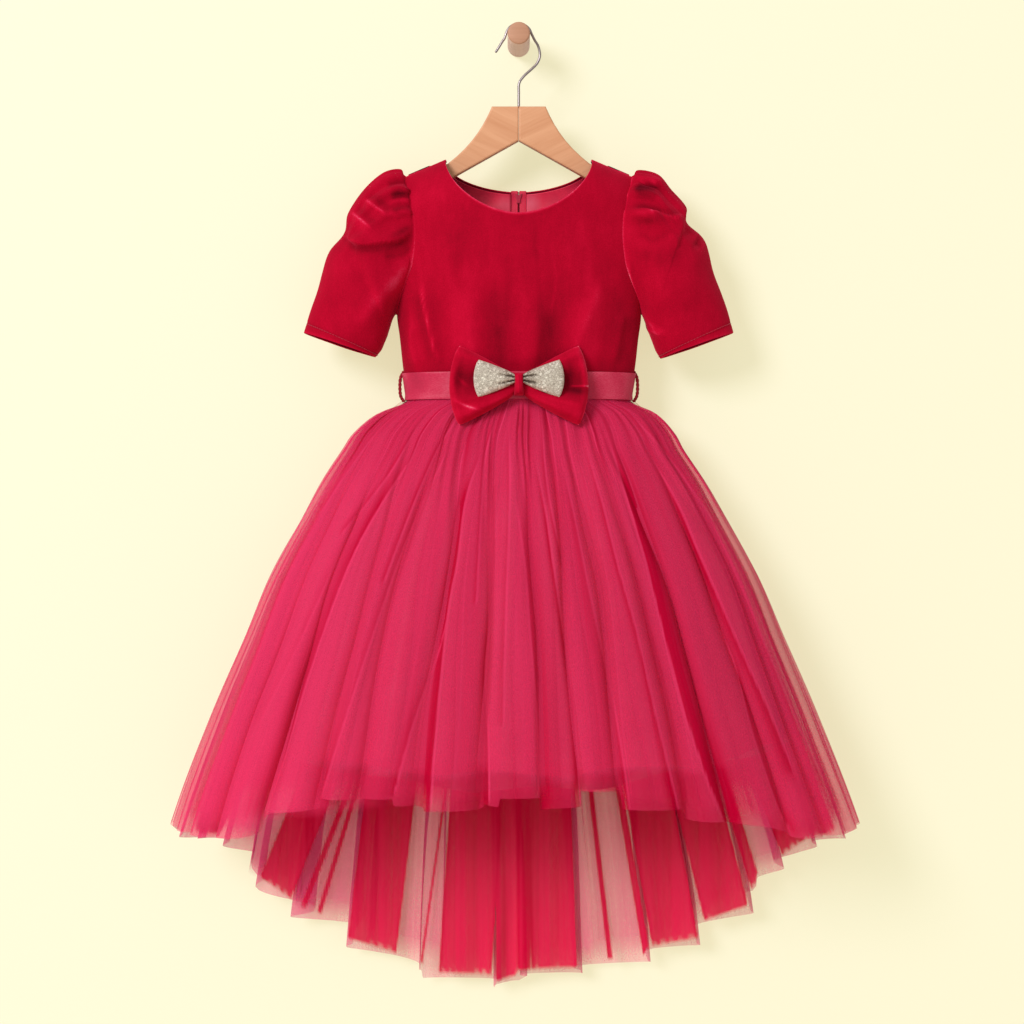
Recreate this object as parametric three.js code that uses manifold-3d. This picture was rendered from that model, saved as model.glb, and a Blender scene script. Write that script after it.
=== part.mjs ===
// A toddler's party dress on a wooden hanger that hangs from a wall peg. Velvet bodice with puff
// sleeves, ribbon belt with a double bow, and a gathered high-low tulle skirt over an underskirt.
// Millimetres, +Z up. The front faces -Y and the wearer's left is +X. The origin is the centre of
// the peg's back face, on the wall.
import * as THREE from "three";
import Module from "manifold-3d";
import { mergeVertices } from "three/addons/utils/BufferGeometryUtils.js";

// Driving dimensions
const hangY = -48; // plane of the hanger, the side seams and the shoulder seams
const seam = 0.3; // gap between sewn pieces
const velvet = 1.5; // thickness of the bodice and sleeve cloth
const satin = 1.0; // thickness of the lining, underskirt and belt
const net = 1.2; // thickness of the tulle wall
const sleeveGap = 0.9; // from the armhole's edge to the sleeve
const liningGap = 1.4; // from the back pieces to their lining
const lining = { underNeck: 2, underShoulder: 10, neckShare: 0.6, neckDepth: 8 };

const peg = { radius: 11.8, length: 68, sides: 32 };
const wire = { radius: 1.5, sides: 8, steps: 44, clear: 0.1 };
const hanger = {
  thickness: 11,
  top: -73.9,
  crownHalf: 28.1,
  apex: -109.7,
  tipX: 107,
  tipTopZ: -148,
  tipOuterZ: -156,
  tipLowZ: -160.6,
  bevel: 1.6,
  underShoulder: 3,
  flare: [38, -97, 50, -115], // the two handles of the curve from the crown to the neck
};
const bodice = {
  neckHalf: 77.2,
  neckZ: -129.4,
  tipX: 119.4,
  tipZ: -147.3,
  frontDrop: 61.2,
  backDrop: 29,
  scoop: 1.8,
  underarmZ: -292,
  waistZ: -376,
  flatness: 2.4,
  shoulderRound: 42,
};
const belt = { top: -354, bottom: -381.6, columns: 56, stand: 2.5 };
const zip = { coilHalf: 1.8, coilOut: 0.2, coilClear: 0.1, tapeHalf: 8, tape: 0.8, bottom: -352, drop: 1.5 };
const bow = { centreZ: -369, beltFrontY: -89.4, lean: 0.15, leanFrom: -352, bigFront: 11.5, smallRise: 7 };
const wingForm = { widening: 0.8, pillow: 0.55, pleat: 0.18, end: 0.35 };
const knot = { halfX: 3.6, halfZ: 12.2, back: 0.1, front: 17.5, swell: 3.5, rise: 2 };
const skirt = { top: -376.3, folds: 40, perFold: 5, evenness: 0.2 };
const underskirt = { folds: 20, perFold: 5, clear: 0.7, wave: 0.5, waveLess: 0.3, below: 1.5 };
// How the folds of the skirt wander in phase and in height around it.
const uneven = { slow: 0.9, slowWaves: 3, quick: 0.7, quickWaves: 8, swell: 0.22, swells: 5, back: 0.2 };

// Side of the bodice as seen from the front: side seam below the underarm, armhole above it.
const sideTable = [
  { z: -376, x: 117.4 },
  { z: -354, x: 120.4 },
  { z: -320, x: 123.9 },
  { z: -292, x: 127.5 },
  { z: -279, x: 125.4 },
  { z: -258, x: 117.2 },
  { z: -239, x: 110.8 },
  { z: -205, x: 107.5 },
  { z: -174, x: 111.8 },
  { z: -147.3, x: 119.4 },
  { z: -129, x: 119.4 },
];
// Half width and half depth of the worn-out form that the bodice cloth follows.
const formTable = [
  { z: -376, width: 117.4, depth: 38 },
  { z: -354, width: 120.4, depth: 38.5 },
  { z: -292, width: 127.5, depth: 42 },
  { z: -129, width: 127.5, depth: 40 },
];
// Skirt sections: half width, how far the section leans to the wearer's right, the Y of its
// front, its widest point and its back, the height of its folds, and how boxy its back is.
const skirtTable = [
  { z: -376, width: 117.1, lean: 0, front: -86, middle: -48, back: -10, fold: 0.5, boxy: 2.4 },
  { z: -380, width: 117.2, lean: 0, front: -86.1, middle: -48, back: -9.9, fold: 0.5, boxy: 2.4 },
  { z: -384, width: 117.8, lean: 0, front: -86.4, middle: -48, back: -9.7, fold: 0.6, boxy: 2.4 },
  { z: -395, width: 144, lean: -1.5, front: -90.5, middle: -49, back: -11, fold: 2.4, boxy: 2.6 },
  { z: -416, width: 167, lean: -4, front: -98, middle: -51, back: -12.5, fold: 3.6, boxy: 2.9 },
  { z: -434, width: 178, lean: -5, front: -107, middle: -53, back: -13, fold: 4.6, boxy: 3.1 },
  { z: -466, width: 199, lean: -5, front: -122, middle: -57, back: -13.5, fold: 6, boxy: 3.3 },
  { z: -500, width: 218, lean: -5, front: -138, middle: -61, back: -14, fold: 7, boxy: 3.5 },
  { z: -565, width: 253, lean: -5, front: -161, middle: -68, back: -14, fold: 8.2, boxy: 3.7 },
  { z: -631, width: 280, lean: -5, front: -180, middle: -74, back: -14, fold: 9.2, boxy: 3.8 },
  { z: -705, width: 311, lean: -5, front: -199, middle: -81, back: -14, fold: 10.2, boxy: 3.9 },
  { z: -816, width: 353, lean: -4, front: -222, middle: -90, back: -14.5, fold: 11, boxy: 4 },
  { z: -900, width: 376, lean: -2, front: -234, middle: -94, back: -15, fold: 11.5, boxy: 4 },
  { z: -1010, width: 398, lean: 0, front: -244, middle: -97, back: -15, fold: 12, boxy: 4 },
];
// Hem heights by angle from the front centre, the same on both sides.
const hemTable = [
  { angle: 0, tulle: -786, satin: -758, inset: 9 },
  { angle: 20, tulle: -792, satin: -755, inset: 11 },
  { angle: 38, tulle: -811, satin: -748, inset: 13 },
  { angle: 52, tulle: -822, satin: -741, inset: 16 },
  { angle: 70, tulle: -822, satin: -734, inset: 21 },
  { angle: 90, tulle: -819, satin: -730, inset: 26 },
  { angle: 110, tulle: -843, satin: -738, inset: 21 },
  { angle: 125, tulle: -866, satin: -748, inset: 16 },
  { angle: 137, tulle: -895, satin: -758, inset: 12 },
  { angle: 150, tulle: -948, satin: -774, inset: 7 },
  { angle: 165, tulle: -985, satin: -788, inset: 5 },
  { angle: 180, tulle: -1003, satin: -792, inset: 4 },
];
// Rows of a skirt panel from the waist down: a height below the waist, then a share of its length.
// The underskirt also stands off the steep flare under the waist by its ease.
const tulleRows = [
  { down: 0, share: 0 },
  { down: 7.2, share: 0 },
  { down: 20, share: 0 },
  { down: 48, share: 0 },
  { down: 0, share: 0.28 },
  { down: 0, share: 0.55 },
  { down: 0, share: 1 },
];
const satinRows = [
  { down: 0, share: 0, ease: 0 },
  { down: 7.2, share: 0, ease: 0.8 },
  { down: 20, share: 0, ease: 5 },
  { down: 0, share: 0.22, ease: 2 },
  { down: 0, share: 0.55, ease: 1 },
  { down: 0, share: 1, ease: 0 },
];

// Sleeve rings from the armhole to the hem: the highest and lowest point seen from the front, the
// half depth, the height of the gathers, and how far the ring still follows the armhole.
const leftSleeveTable = [
  { topX: 120, topZ: -147, lowX: 128.3, lowZ: -291, depth: 24, gather: 0, hole: 1 },
  { topX: 125.4, topZ: -142.3, lowX: 129.6, lowZ: -291.4, depth: 28, gather: 2.2, hole: 0.7 },
  { topX: 146, topZ: -147.5, lowX: 131.6, lowZ: -296, depth: 34, gather: 2.6, hole: 0.36 },
  { topX: 159.6, topZ: -162.5, lowX: 133, lowZ: -300, depth: 38, gather: 1.8, hole: 0.14 },
  { topX: 175.8, topZ: -180, lowX: 134.6, lowZ: -305, depth: 40, gather: 1, hole: 0.04 },
  { topX: 177, topZ: -195.4, lowX: 136, lowZ: -309, depth: 37.5, gather: 0.4, hole: 0 },
  { topX: 195.4, topZ: -214, lowX: 138, lowZ: -315, depth: 38, gather: 0, hole: 0 },
  { topX: 204, topZ: -246, lowX: 141, lowZ: -323, depth: 35, gather: 0, hole: 0 },
  { topX: 213.5, topZ: -271, lowX: 143.6, lowZ: -330, depth: 32, gather: 0, hole: 0 },
  { topX: 225.2, topZ: -310.2, lowX: 148, lowZ: -337.6, depth: 28.5, gather: 0, hole: 0 },
];
const rightSleeveTable = [
  { topX: 120, topZ: -147, lowX: 128.3, lowZ: -291, depth: 24, gather: 0, hole: 1 },
  { topX: 124.2, topZ: -141.4, lowX: 129.6, lowZ: -291.4, depth: 28, gather: 2.2, hole: 0.7 },
  { topX: 142, topZ: -145.6, lowX: 131.6, lowZ: -295, depth: 34, gather: 2.6, hole: 0.36 },
  { topX: 161.5, topZ: -162, lowX: 133, lowZ: -299, depth: 38.5, gather: 1.8, hole: 0.14 },
  { topX: 179, topZ: -186, lowX: 134.4, lowZ: -304, depth: 40.5, gather: 1, hole: 0.04 },
  { topX: 183.4, topZ: -206, lowX: 136, lowZ: -309, depth: 37, gather: 0.4, hole: 0 },
  { topX: 198.6, topZ: -225, lowX: 138, lowZ: -315, depth: 38, gather: 0, hole: 0 },
  { topX: 206.4, topZ: -248, lowX: 141, lowZ: -322, depth: 35, gather: 0, hole: 0 },
  { topX: 213.5, topZ: -273, lowX: 144, lowZ: -329, depth: 32, gather: 0, hole: 0 },
  { topX: 225.4, topZ: -310.3, lowX: 149.6, lowZ: -336.2, depth: 28.5, gather: 0, hole: 0 },
];
const cap = { gathers: 16, spread: 84, fade: 3, dense: 24, sparse: 10 };

// Finishes
const finish = (color, roughness, metalness = 0) =>
  new THREE.MeshStandardMaterial({ color, roughness, metalness, side: THREE.DoubleSide });
const velvetRed = finish(0xb00028, 0.8);
const tullePink = finish(0xe0305a, 0.7);
const satinRose = finish(0xc8294f, 0.45);
const glitterSilver = finish(0xc9c0b2, 0.4, 0.5);
const paleWood = finish(0xdfa37c, 0.5);
const steel = finish(0x9a8f92, 0.3, 1);

const { clamp, degToRad } = THREE.MathUtils;
const group = new THREE.Group();
const wasm = await Module();
wasm.setup();

// Reads a column of a table at any height or angle, on a smooth curve through its rows.
function column(table, by, key) {
  const rows = [...table].sort((a, b) => a[by] - b[by]);
  const slope = (i) => {
    const before = rows[Math.max(i - 1, 0)];
    const after = rows[Math.min(i + 1, rows.length - 1)];
    return (after[key] - before[key]) / (after[by] - before[by]);
  };
  return (at) => {
    const here = clamp(at, rows[0][by], rows.at(-1)[by]);
    const i = clamp(rows.findIndex((row) => row[by] >= here) - 1, 0, rows.length - 2);
    const span = rows[i + 1][by] - rows[i][by];
    const s = (here - rows[i][by]) / span;
    const rise = s * s * (3 - 2 * s);
    return (
      rows[i][key] * (1 - rise) +
      rows[i + 1][key] * rise +
      slope(i) * span * s * (1 - s) ** 2 -
      slope(i + 1) * span * s * s * (1 - s)
    );
  };
}

// A grid of points as rows: at(i, j) for column i of row j.
function grid(columns, rows, at) {
  return rows.map((row) => columns.map((col) => at(col, row)));
}

const steps = (count, from = 0, to = 1) =>
  Array.from({ length: count + 1 }, (_, i) => from + ((to - from) * i) / count);

// The grid moved along its own normals. Columns run to the right and rows run up, seen from outside.
function moved(face, distance, loop = false, trim = (point) => point) {
  const lastRow = face.length - 1;
  const count = face[0].length;
  return face.map((row, j) =>
    row.map((point, i) => {
      const right = loop ? row[(i + 1) % count] : row[Math.min(i + 1, count - 1)];
      const left = loop ? row[(i + count - 1) % count] : row[Math.max(i - 1, 0)];
      const above = face[Math.min(j + 1, lastRow)][i];
      const below = face[Math.max(j - 1, 0)][i];
      const across = new THREE.Vector3().subVectors(right, left);
      const normal = across.cross(new THREE.Vector3().subVectors(above, below)).normalize();
      return trim(point.clone().addScaledVector(normal, distance));
    }),
  );
}

// A closed body between two grids of the same size, turned so that its faces point out.
function slab(face, back, loop = false) {
  const rows = face.length;
  const count = face[0].length;
  const spans = loop ? count : count - 1;
  const points = [...face.flat(), ...back.flat()];
  const index = [];
  const at = (side, j, i) => side * rows * count + j * count + (i % count);
  const quad = (a, b, c, d) => index.push(a, b, c, a, c, d);
  for (let i = 0; i < spans; i++) {
    for (let j = 0; j < rows - 1; j++) {
      quad(at(0, j, i), at(0, j, i + 1), at(0, j + 1, i + 1), at(0, j + 1, i));
      quad(at(1, j, i), at(1, j + 1, i), at(1, j + 1, i + 1), at(1, j, i + 1));
    }
    quad(at(1, 0, i), at(1, 0, i + 1), at(0, 0, i + 1), at(0, 0, i));
    quad(at(0, rows - 1, i), at(0, rows - 1, i + 1), at(1, rows - 1, i + 1), at(1, rows - 1, i));
  }
  for (let j = 0; j < rows - 1 && !loop; j++) {
    quad(at(0, j, 0), at(0, j + 1, 0), at(1, j + 1, 0), at(1, j, 0));
    const last = count - 1;
    quad(at(1, j, last), at(1, j + 1, last), at(0, j + 1, last), at(0, j, last));
  }
  let volume = 0;
  for (let i = 0; i < index.length; i += 3) {
    const [a, b, c] = [points[index[i]], points[index[i + 1]], points[index[i + 2]]];
    volume += a.dot(new THREE.Vector3().crossVectors(b, c));
  }
  if (volume < 0) index.reverse();
  return new THREE.BufferGeometry().setFromPoints(points).setIndex(index);
}

const wall = (face, thickness, loop = false, trim = undefined) =>
  slab(face, moved(face, -thickness, loop, trim), loop);

const mirrored = (face) =>
  face.map((row) => row.map((p) => new THREE.Vector3(-p.x, p.y, p.z)).reverse());

function add(name, geometry, material, parent = group) {
  const mesh = new THREE.Mesh(geometry, material);
  mesh.name = name;
  parent.add(mesh);
  return mesh;
}

// Bodice
const sideX = column(sideTable, "z", "x");
const formWidth = column(formTable, "z", "width");
const formDepth = column(formTable, "z", "depth");
const shoulderSlope = (bodice.neckZ - bodice.tipZ) / (bodice.tipX - bodice.neckHalf);
const shoulderZ = (x) => bodice.neckZ - shoulderSlope * Math.max(Math.abs(x) - bodice.neckHalf, 0);

// How far the cloth stands in front of, or behind, the plane of the hanger.
function bodiceDepth(x, z) {
  const across = clamp(Math.abs(x) / formWidth(z), 0, 1) ** bodice.flatness;
  const above = 1 - clamp((shoulderZ(x) - z) / bodice.shoulderRound, 0, 1);
  return seam / 2 + formDepth(z) * Math.sqrt(1 - across) * Math.sqrt(1 - above * above);
}

// Columns of half a panel from the centre out: the neckline, then the shoulder seam. A column keeps
// its share of the bodice's width, and its top lies on the neckline or the shoulder seam.
function halfColumns(neckDrop, innerX) {
  const neckline = steps(6).map((turn) => {
    const x = Math.max(bodice.neckHalf * Math.sin((turn * Math.PI) / 2), innerX);
    const dip = (1 - (x / bodice.neckHalf) ** bodice.scoop) ** (1 / bodice.scoop);
    const top = bodice.neckZ - neckDrop * dip;
    return { share: x / sideX(top), top, innerX };
  });
  const neckTurn = Math.asin(neckline.at(-1).share);
  const shoulder = steps(7, neckTurn, Math.PI / 2)
    .slice(1)
    .map((turn) => ({ share: Math.sin(turn), top: shoulderZ(Math.sin(turn) * bodice.tipX), innerX }));
  return [...neckline, ...shoulder];
}

const underarmShare = (bodice.underarmZ - bodice.waistZ) / (bodice.tipZ - bodice.waistZ);
const bodiceRows = [
  0,
  underarmShare / 2,
  underarmShare,
  0.48,
  0.6,
  0.72,
  0.82,
  0.9,
  0.955,
  0.987,
  1,
];

// A point of the front (facing -1) or back (facing 1) of the bodice.
function bodicePoint(facing, col, row) {
  const z = bodice.waistZ + (col.top - bodice.waistZ) * row;
  const x = Math.sign(col.share || 1) * Math.max(Math.abs(col.share) * sideX(z), col.innerX);
  return new THREE.Vector3(x, hangY + facing * bodiceDepth(x, z), z);
}

const frontSide = (p) => p.setY(Math.min(p.y, hangY - seam / 2));
const backSide = (p) => p.setY(Math.max(p.y, hangY + seam / 2));

function addBodice() {
  const half = halfColumns(bodice.frontDrop, 0);
  const columns = [...half.slice(1).reverse().map((c) => ({ ...c, share: -c.share })), ...half];
  const front = grid(columns, bodiceRows, (col, row) => bodicePoint(-1, col, row));
  add("bodice_front", wall(front, velvet, false, frontSide), velvetRed);

  const edge = zip.coilHalf + seam;
  const backColumns = halfColumns(bodice.backDrop, edge).reverse();
  const back = grid(backColumns, bodiceRows, (col, row) => bodicePoint(1, col, row));
  const keepRight = (p) => backSide(p).setX(Math.max(p.x, edge));
  const keepLeft = (p) => backSide(p).setX(Math.min(p.x, -edge));
  add("bodice_back_left", wall(back, velvet, false, keepRight), velvetRed);
  add("bodice_back_right", wall(mirrored(back), velvet, false, keepLeft), velvetRed);
}

// The lining shows behind the neckline. It lies on the inside of the back pieces.
function addBackLining() {
  const inner = zip.tapeHalf + seam;
  const edge = (col) => {
    const inNeck = col.top < bodice.neckZ - lining.neckDepth && col.share < lining.neckShare;
    return inNeck ? lining.underNeck : lining.underShoulder;
  };
  const columns = halfColumns(bodice.backDrop, inner)
    .reverse()
    .map((col) => ({ ...col, top: col.top - edge(col) }));
  const outer = grid(columns, bodiceRows, (col, row) => bodicePoint(1, col, row));
  const sparse = (face) => face.map((row) => row.filter((_, i) => i % 2 === 1));
  const trim = (p) => backSide(p).setX(Math.max(p.x, inner));
  const depth = velvet + liningGap;
  const face = sparse(moved(outer, -depth, false, trim));
  const far = sparse(moved(outer, -(depth + satin), false, trim));
  add("back_lining_left", slab(face, far), satinRose);
  add("back_lining_right", slab(mirrored(face), mirrored(far)), satinRose);
}

// Sleeves
const ringAngles = [
  ...steps(cap.dense, -cap.spread, cap.spread),
  ...steps(cap.sparse, cap.spread, 360 - cap.spread).slice(1, -1),
].map(degToRad);

// The armhole's edge at an angle from its top, towards the front.
function armholePoint(angle) {
  const middle = (bodice.tipZ + bodice.underarmZ) / 2;
  const reach = (bodice.tipZ - bodice.underarmZ) / 2;
  const z = middle + reach * Math.cos(angle);
  const depth = bodiceDepth(sideX(z), z) * Math.sign(Math.sin(angle));
  return new THREE.Vector3(sideX(z) + sleeveGap, hangY - depth, z);
}

function ringPoint(row, angle, lift = 0) {
  const lobe = Math.cos(angle);
  const fromTop = Math.abs(Math.atan2(Math.sin(angle), lobe));
  const window = clamp((degToRad(cap.spread) - fromTop) * cap.fade, 0, 1);
  const gather = row.gather * Math.cos(cap.gathers * angle) * window + lift;
  const halfX = (row.topX - row.lowX) / 2;
  const halfZ = (row.topZ - row.lowZ) / 2;
  const long = Math.hypot(halfX, halfZ);
  const grow = (long + gather) / long;
  return new THREE.Vector3(
    (row.topX + row.lowX) / 2 + halfX * grow * lobe,
    hangY - (row.depth + gather) * Math.sin(angle),
    (row.topZ + row.lowZ) / 2 + halfZ * grow * lobe,
  );
}

function sleevePoint(table, row, angle, lift) {
  const hole = armholePoint(angle).sub(ringPoint(table[0], angle));
  return ringPoint(row, angle, lift).addScaledVector(hole, row.hole);
}

function addSleeve(name, table, mirror) {
  const face = grid(ringAngles, table, (angle, row) => sleevePoint(table, row, angle, 0));
  const inside = grid(ringAngles, table, (angle, row) => sleevePoint(table, row, angle, -velvet));
  const turn = mirror ? mirrored : (points) => points;
  add(name, slab(turn(face), turn(inside), true), velvetRed);
}

// Skirt
const section = (key) => column(skirtTable, "z", key);
const skirtWidth = section("width");
const skirtFront = section("front");
const skirtMiddle = section("middle");
const skirtBack = section("back");
const foldHeight = section("fold");
const skirtBoxy = section("boxy");
const skirtLean = section("lean");
const hem = (key) => column(hemTable, "angle", key);

// Folds lie evenly along the cloth, which is flatter at the front than at the sides.
const evenTurn = (turn) => turn - skirt.evenness * Math.sin(2 * turn);

// One skirt section at a turn from the front centre (radians), moved out by lift.
function skirtPoint(turn, z, lift) {
  const angle = evenTurn(turn);
  const behind = Math.cos(angle) < 0;
  const width = skirtWidth(z);
  const depth = Math.abs((behind ? skirtBack(z) : skirtFront(z)) - skirtMiddle(z));
  const boxy = behind ? skirtBoxy(z) : Math.min(skirtBoxy(z), bodice.flatness);
  const swell = Math.sqrt(1 - Math.abs(Math.sin(angle)) ** boxy);
  const normal = new THREE.Vector2(depth * Math.sin(angle), -width * Math.cos(angle)).normalize();
  const y = skirtMiddle(z) + (behind ? 1 : -1) * (depth * swell + seam / 2);
  const x = skirtLean(z) + width * Math.sin(angle);
  return new THREE.Vector3(x + normal.x * lift, y + normal.y * lift, z);
}

// Uneven folds: a cosine whose phase and height wander around the skirt.
function foldWave(turn, folds, seed) {
  const slow = uneven.slow * Math.sin(uneven.slowWaves * turn + seed);
  const quick = uneven.quick * Math.sin(uneven.quickWaves * turn + 2 * seed);
  const height = 1 - uneven.swell + uneven.swell * Math.sin(uneven.swells * turn + 3 * seed);
  const quietBack = 1 - uneven.back + uneven.back * Math.cos(turn);
  return Math.cos(folds * turn + slow + quick) * height * quietBack;
}

function tullePoint(turn, row) {
  const drop = hem("tulle")(Math.abs((evenTurn(turn) * 180) / Math.PI));
  const z = skirt.top - row.down + (drop - skirt.top) * row.share;
  return skirtPoint(turn, z, foldHeight(z) * foldWave(turn, skirt.folds, 1));
}

function satinPoint(turn, row) {
  const degrees = Math.abs((evenTurn(turn) * 180) / Math.PI);
  const z = skirt.top - row.down + (hem("satin")(degrees) - skirt.top) * row.share;
  const spare = hem("inset")(degrees) * row.share;
  const high = underskirt.wave * foldHeight(z) - underskirt.waveLess;
  const wave = foldWave(turn, underskirt.folds, 2) * high;
  const inset = net + foldHeight(z) * underskirt.below + underskirt.clear + row.ease + spare;
  return skirtPoint(turn, z, wave - inset);
}

// A half of a skirt layer between its side seams, given the turn of its middle.
function skirtPanel(middle, folds, perFold, rows, point) {
  const quarter = Math.PI / 2;
  const turns = steps((folds / 2) * perFold, -quarter, quarter);
  const unwrap = (turn) => (turn > Math.PI ? turn - 2 * Math.PI : turn);
  return grid(turns, [...rows].reverse(), (turn, row) => point(unwrap(turn + middle), row));
}

function addSkirtLayer(name, thickness, layer, rows, point, material) {
  const inFront = (p) => p.setY(Math.min(p.y, skirtMiddle(p.z) - seam / 2));
  const behind = (p) => p.setY(Math.max(p.y, skirtMiddle(p.z) + seam / 2));
  const front = skirtPanel(0, layer.folds, layer.perFold, rows, point);
  const back = skirtPanel(Math.PI, layer.folds, layer.perFold, rows, point);
  const faces = [front.map((row) => row.map(inFront)), back.map((row) => row.map(behind))];
  add(name + "_front", wall(faces[0], thickness, false, inFront), material);
  add(name + "_back", wall(faces[1], thickness, false, behind), material);
}

// Belt: a ribbon ring over the waist seam, and the two loops that carry it at the side seams.
function addBelt() {
  const beltPoint = (turn, z, stand) => {
    const widest = formWidth(z) + stand;
    const x = widest * Math.sin(turn);
    const deep = formDepth(z) + stand;
    const across = Math.abs(Math.sin(turn)) ** bodice.flatness;
    return new THREE.Vector3(x, hangY - Math.sign(Math.cos(turn)) * deep * Math.sqrt(1 - across), z);
  };
  const turns = steps(belt.columns, -Math.PI, Math.PI).slice(0, -1);
  const heights = [belt.bottom, belt.top];
  const ring = (stand) => grid(turns, heights, (turn, z) => beltPoint(turn, z, stand));
  add("belt", slab(ring(belt.stand), ring(belt.stand - satin), true), satinRose);
}

function tube(path, radius, sides, count) {
  const round = new THREE.Shape();
  for (let i = 0; i < sides; i++) {
    const turn = (i * 2 * Math.PI) / sides;
    round[i ? "lineTo" : "moveTo"](radius * Math.cos(turn), radius * Math.sin(turn));
  }
  return new THREE.ExtrudeGeometry(round, { extrudePath: path, steps: count, bevelEnabled: false });
}

function addBeltLoops() {
  const cordRadius = 1.2;
  const outline = [
    [122.6, belt.top + 4.2],
    [125.7, belt.top - 2.5],
    [126.6, (belt.top + belt.bottom) / 2],
    [125.6, belt.bottom + 3],
    [122.4, belt.bottom - 2],
  ];
  for (const [name, sign] of [["belt_loop_left", 1], ["belt_loop_right", -1]]) {
    const points = outline.map(([x, z]) => new THREE.Vector3(sign * x, hangY, z));
    add(name, tube(new THREE.CatmullRomCurve3(points), cordRadius, 8, 10), velvetRed);
  }
}

// Bow: two velvet wings, two smaller glitter wings on them, and the knot.
function wing({ fromX, reach, bulge, knotHalf, endHalf, centreZ, crown, rim, pleats, back }) {
  const across = steps(7);
  const up = steps(8, -1, 1);
  const place = (u, w, y) => {
    const x = fromX + (reach + bulge * (1 - w * w) - fromX) * u;
    const z = centreZ + w * (knotHalf + (endHalf - knotHalf) * u ** wingForm.widening);
    return new THREE.Vector3(x, y(z), z);
  };
  const thickness = (u, w) => {
    const bulging = wingForm.pillow + (1 - wingForm.pillow) * Math.sin(Math.PI * u);
    const pillow = Math.sqrt(Math.max(1 - w ** 4, 0)) * bulging;
    const pleat = 1 - wingForm.pleat + wingForm.pleat * Math.cos(pleats * Math.PI * w);
    return rim + crown * pillow * (u < 1 ? pleat : wingForm.end);
  };
  const face = grid(across, up, (u, w) => place(u, w, (z) => back(z) - thickness(u, w)));
  const far = grid(across, up, (u, w) => place(u, w, back));
  return { face, far };
}

const bowBack = (z) => bow.beltFrontY - bow.lean * Math.max(bow.leanFrom - z, 0);

function addBow() {
  const big = wing({
    fromX: 4,
    reach: 59.6,
    bulge: 8.7,
    knotHalf: 8,
    endHalf: 39.5,
    centreZ: bow.centreZ,
    crown: 9,
    rim: 2.2,
    pleats: 2,
    back: bowBack,
  });
  const small = wing({
    fromX: 4,
    reach: 40,
    bulge: 5,
    knotHalf: 4,
    endHalf: 20,
    centreZ: bow.centreZ + bow.smallRise,
    crown: 4.2,
    rim: 1.8,
    pleats: 3,
    back: (z) => bowBack(z) - bow.bigFront,
  });
  for (const [side, turn] of [["left", (g) => g], ["right", mirrored]]) {
    add("bow_velvet_" + side, slab(turn(big.face), turn(big.far)), velvetRed);
    add("bow_glitter_" + side, slab(turn(small.face), turn(small.far)), glitterSilver);
  }
  const round = (w) => Math.sqrt(Math.max(1 - w ** 4, 0));
  const face = grid(steps(6, -1, 1), steps(6, -1, 1), (u, w) => {
    const z = bow.centreZ + knot.rise + knot.halfZ * w;
    const swell = knot.swell * round(w) * round(u);
    return new THREE.Vector3(knot.halfX * u, bowBack(z) - knot.front - swell, z);
  });
  const far = face.map((row) => row.map((p) => p.clone().setY(bowBack(p.z) + knot.back)));
  add("bow_knot", slab(face, far), velvetRed);
}

// Zip at the centre back: tapes inside, coil between the back pieces, slider and pull at the top.
function addZip() {
  const neckZ = bodice.neckZ - bodice.backDrop - zip.drop;
  const heights = steps(8, zip.bottom, neckZ);
  const surface = (x, z) => new THREE.Vector3(x, hangY + bodiceDepth(x, z), z);
  const strip = (half, near, deep) => {
    const outer = grid([half, -half], heights, surface);
    const at = (distance) => outer.map((row) => row.map((p) => p.clone().setY(p.y - distance)));
    return slab(at(near), at(deep));
  };
  const inside = velvet + seam;
  const near = inside + seam;
  add("zip_coil", strip(zip.coilHalf, -zip.coilOut, inside - zip.coilClear), satinRose);
  add("zip_tape", strip(zip.tapeHalf, near, near + zip.tape), satinRose);
  addZipPull(surface(0, neckZ - slider.belowNeck));
}

// The slider rides on the coil. Its bridge carries the pull tab, which swings about X.
const slider = { width: 6.4, deep: 1.8, high: 8.6, out: 1.5, drop: 0.4, belowNeck: 6 };
const bridge = { width: 2, deep: 3.2, high: 5, out: 1.7, hole: 2 };
const pull = { axisOut: 3.3, bar: 1, width: 5, slot: 2.7, slotHigh: 3.4, length: 15, thick: 1 };

function solidOf(geometry) {
  const bare = new THREE.BufferGeometry().setAttribute("position", geometry.getAttribute("position"));
  const merged = mergeVertices(bare.setIndex(geometry.index));
  const vertProperties = merged.attributes.position.array;
  const triVerts = new Uint32Array(merged.index.array);
  return new wasm.Manifold(new wasm.Mesh({ numProp: 3, vertProperties, triVerts }));
}

function block(width, depth, height, x, y, z) {
  return solidOf(new THREE.BoxGeometry(width, depth, height).translate(x, y, z));
}

function geometryOf(solid) {
  const mesh = solid.getMesh();
  return new THREE.BufferGeometry()
    .setAttribute("position", new THREE.BufferAttribute(mesh.vertProperties, 3))
    .setIndex(new THREE.BufferAttribute(mesh.triVerts, 1));
}

function addZipPull(place) {
  const axis = new THREE.Group();
  axis.position.set(0, place.y + pull.axisOut, place.z);
  group.add(axis);
  const body = block(slider.width, slider.deep, slider.high, 0, slider.out - pull.axisOut, -slider.drop);
  const arch = block(bridge.width, bridge.deep, bridge.high, 0, bridge.out - bridge.deep / 2, 0);
  const hole = block(bridge.width * 2, bridge.hole, bridge.hole, 0, 0, 0);
  add("zip_slider", geometryOf(body.add(arch).subtract(hole)), steel, axis);
  const plate = block(pull.width, pull.thick, pull.length, 0, 0, pull.bar / 2 - pull.length / 2);
  const slot = block(pull.slot, pull.thick * 2, pull.slotHigh, 0, 0, -(pull.bar + pull.slotHigh) / 2);
  add("zip_pull", geometryOf(plate.subtract(slot)), steel, axis);
}

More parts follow.
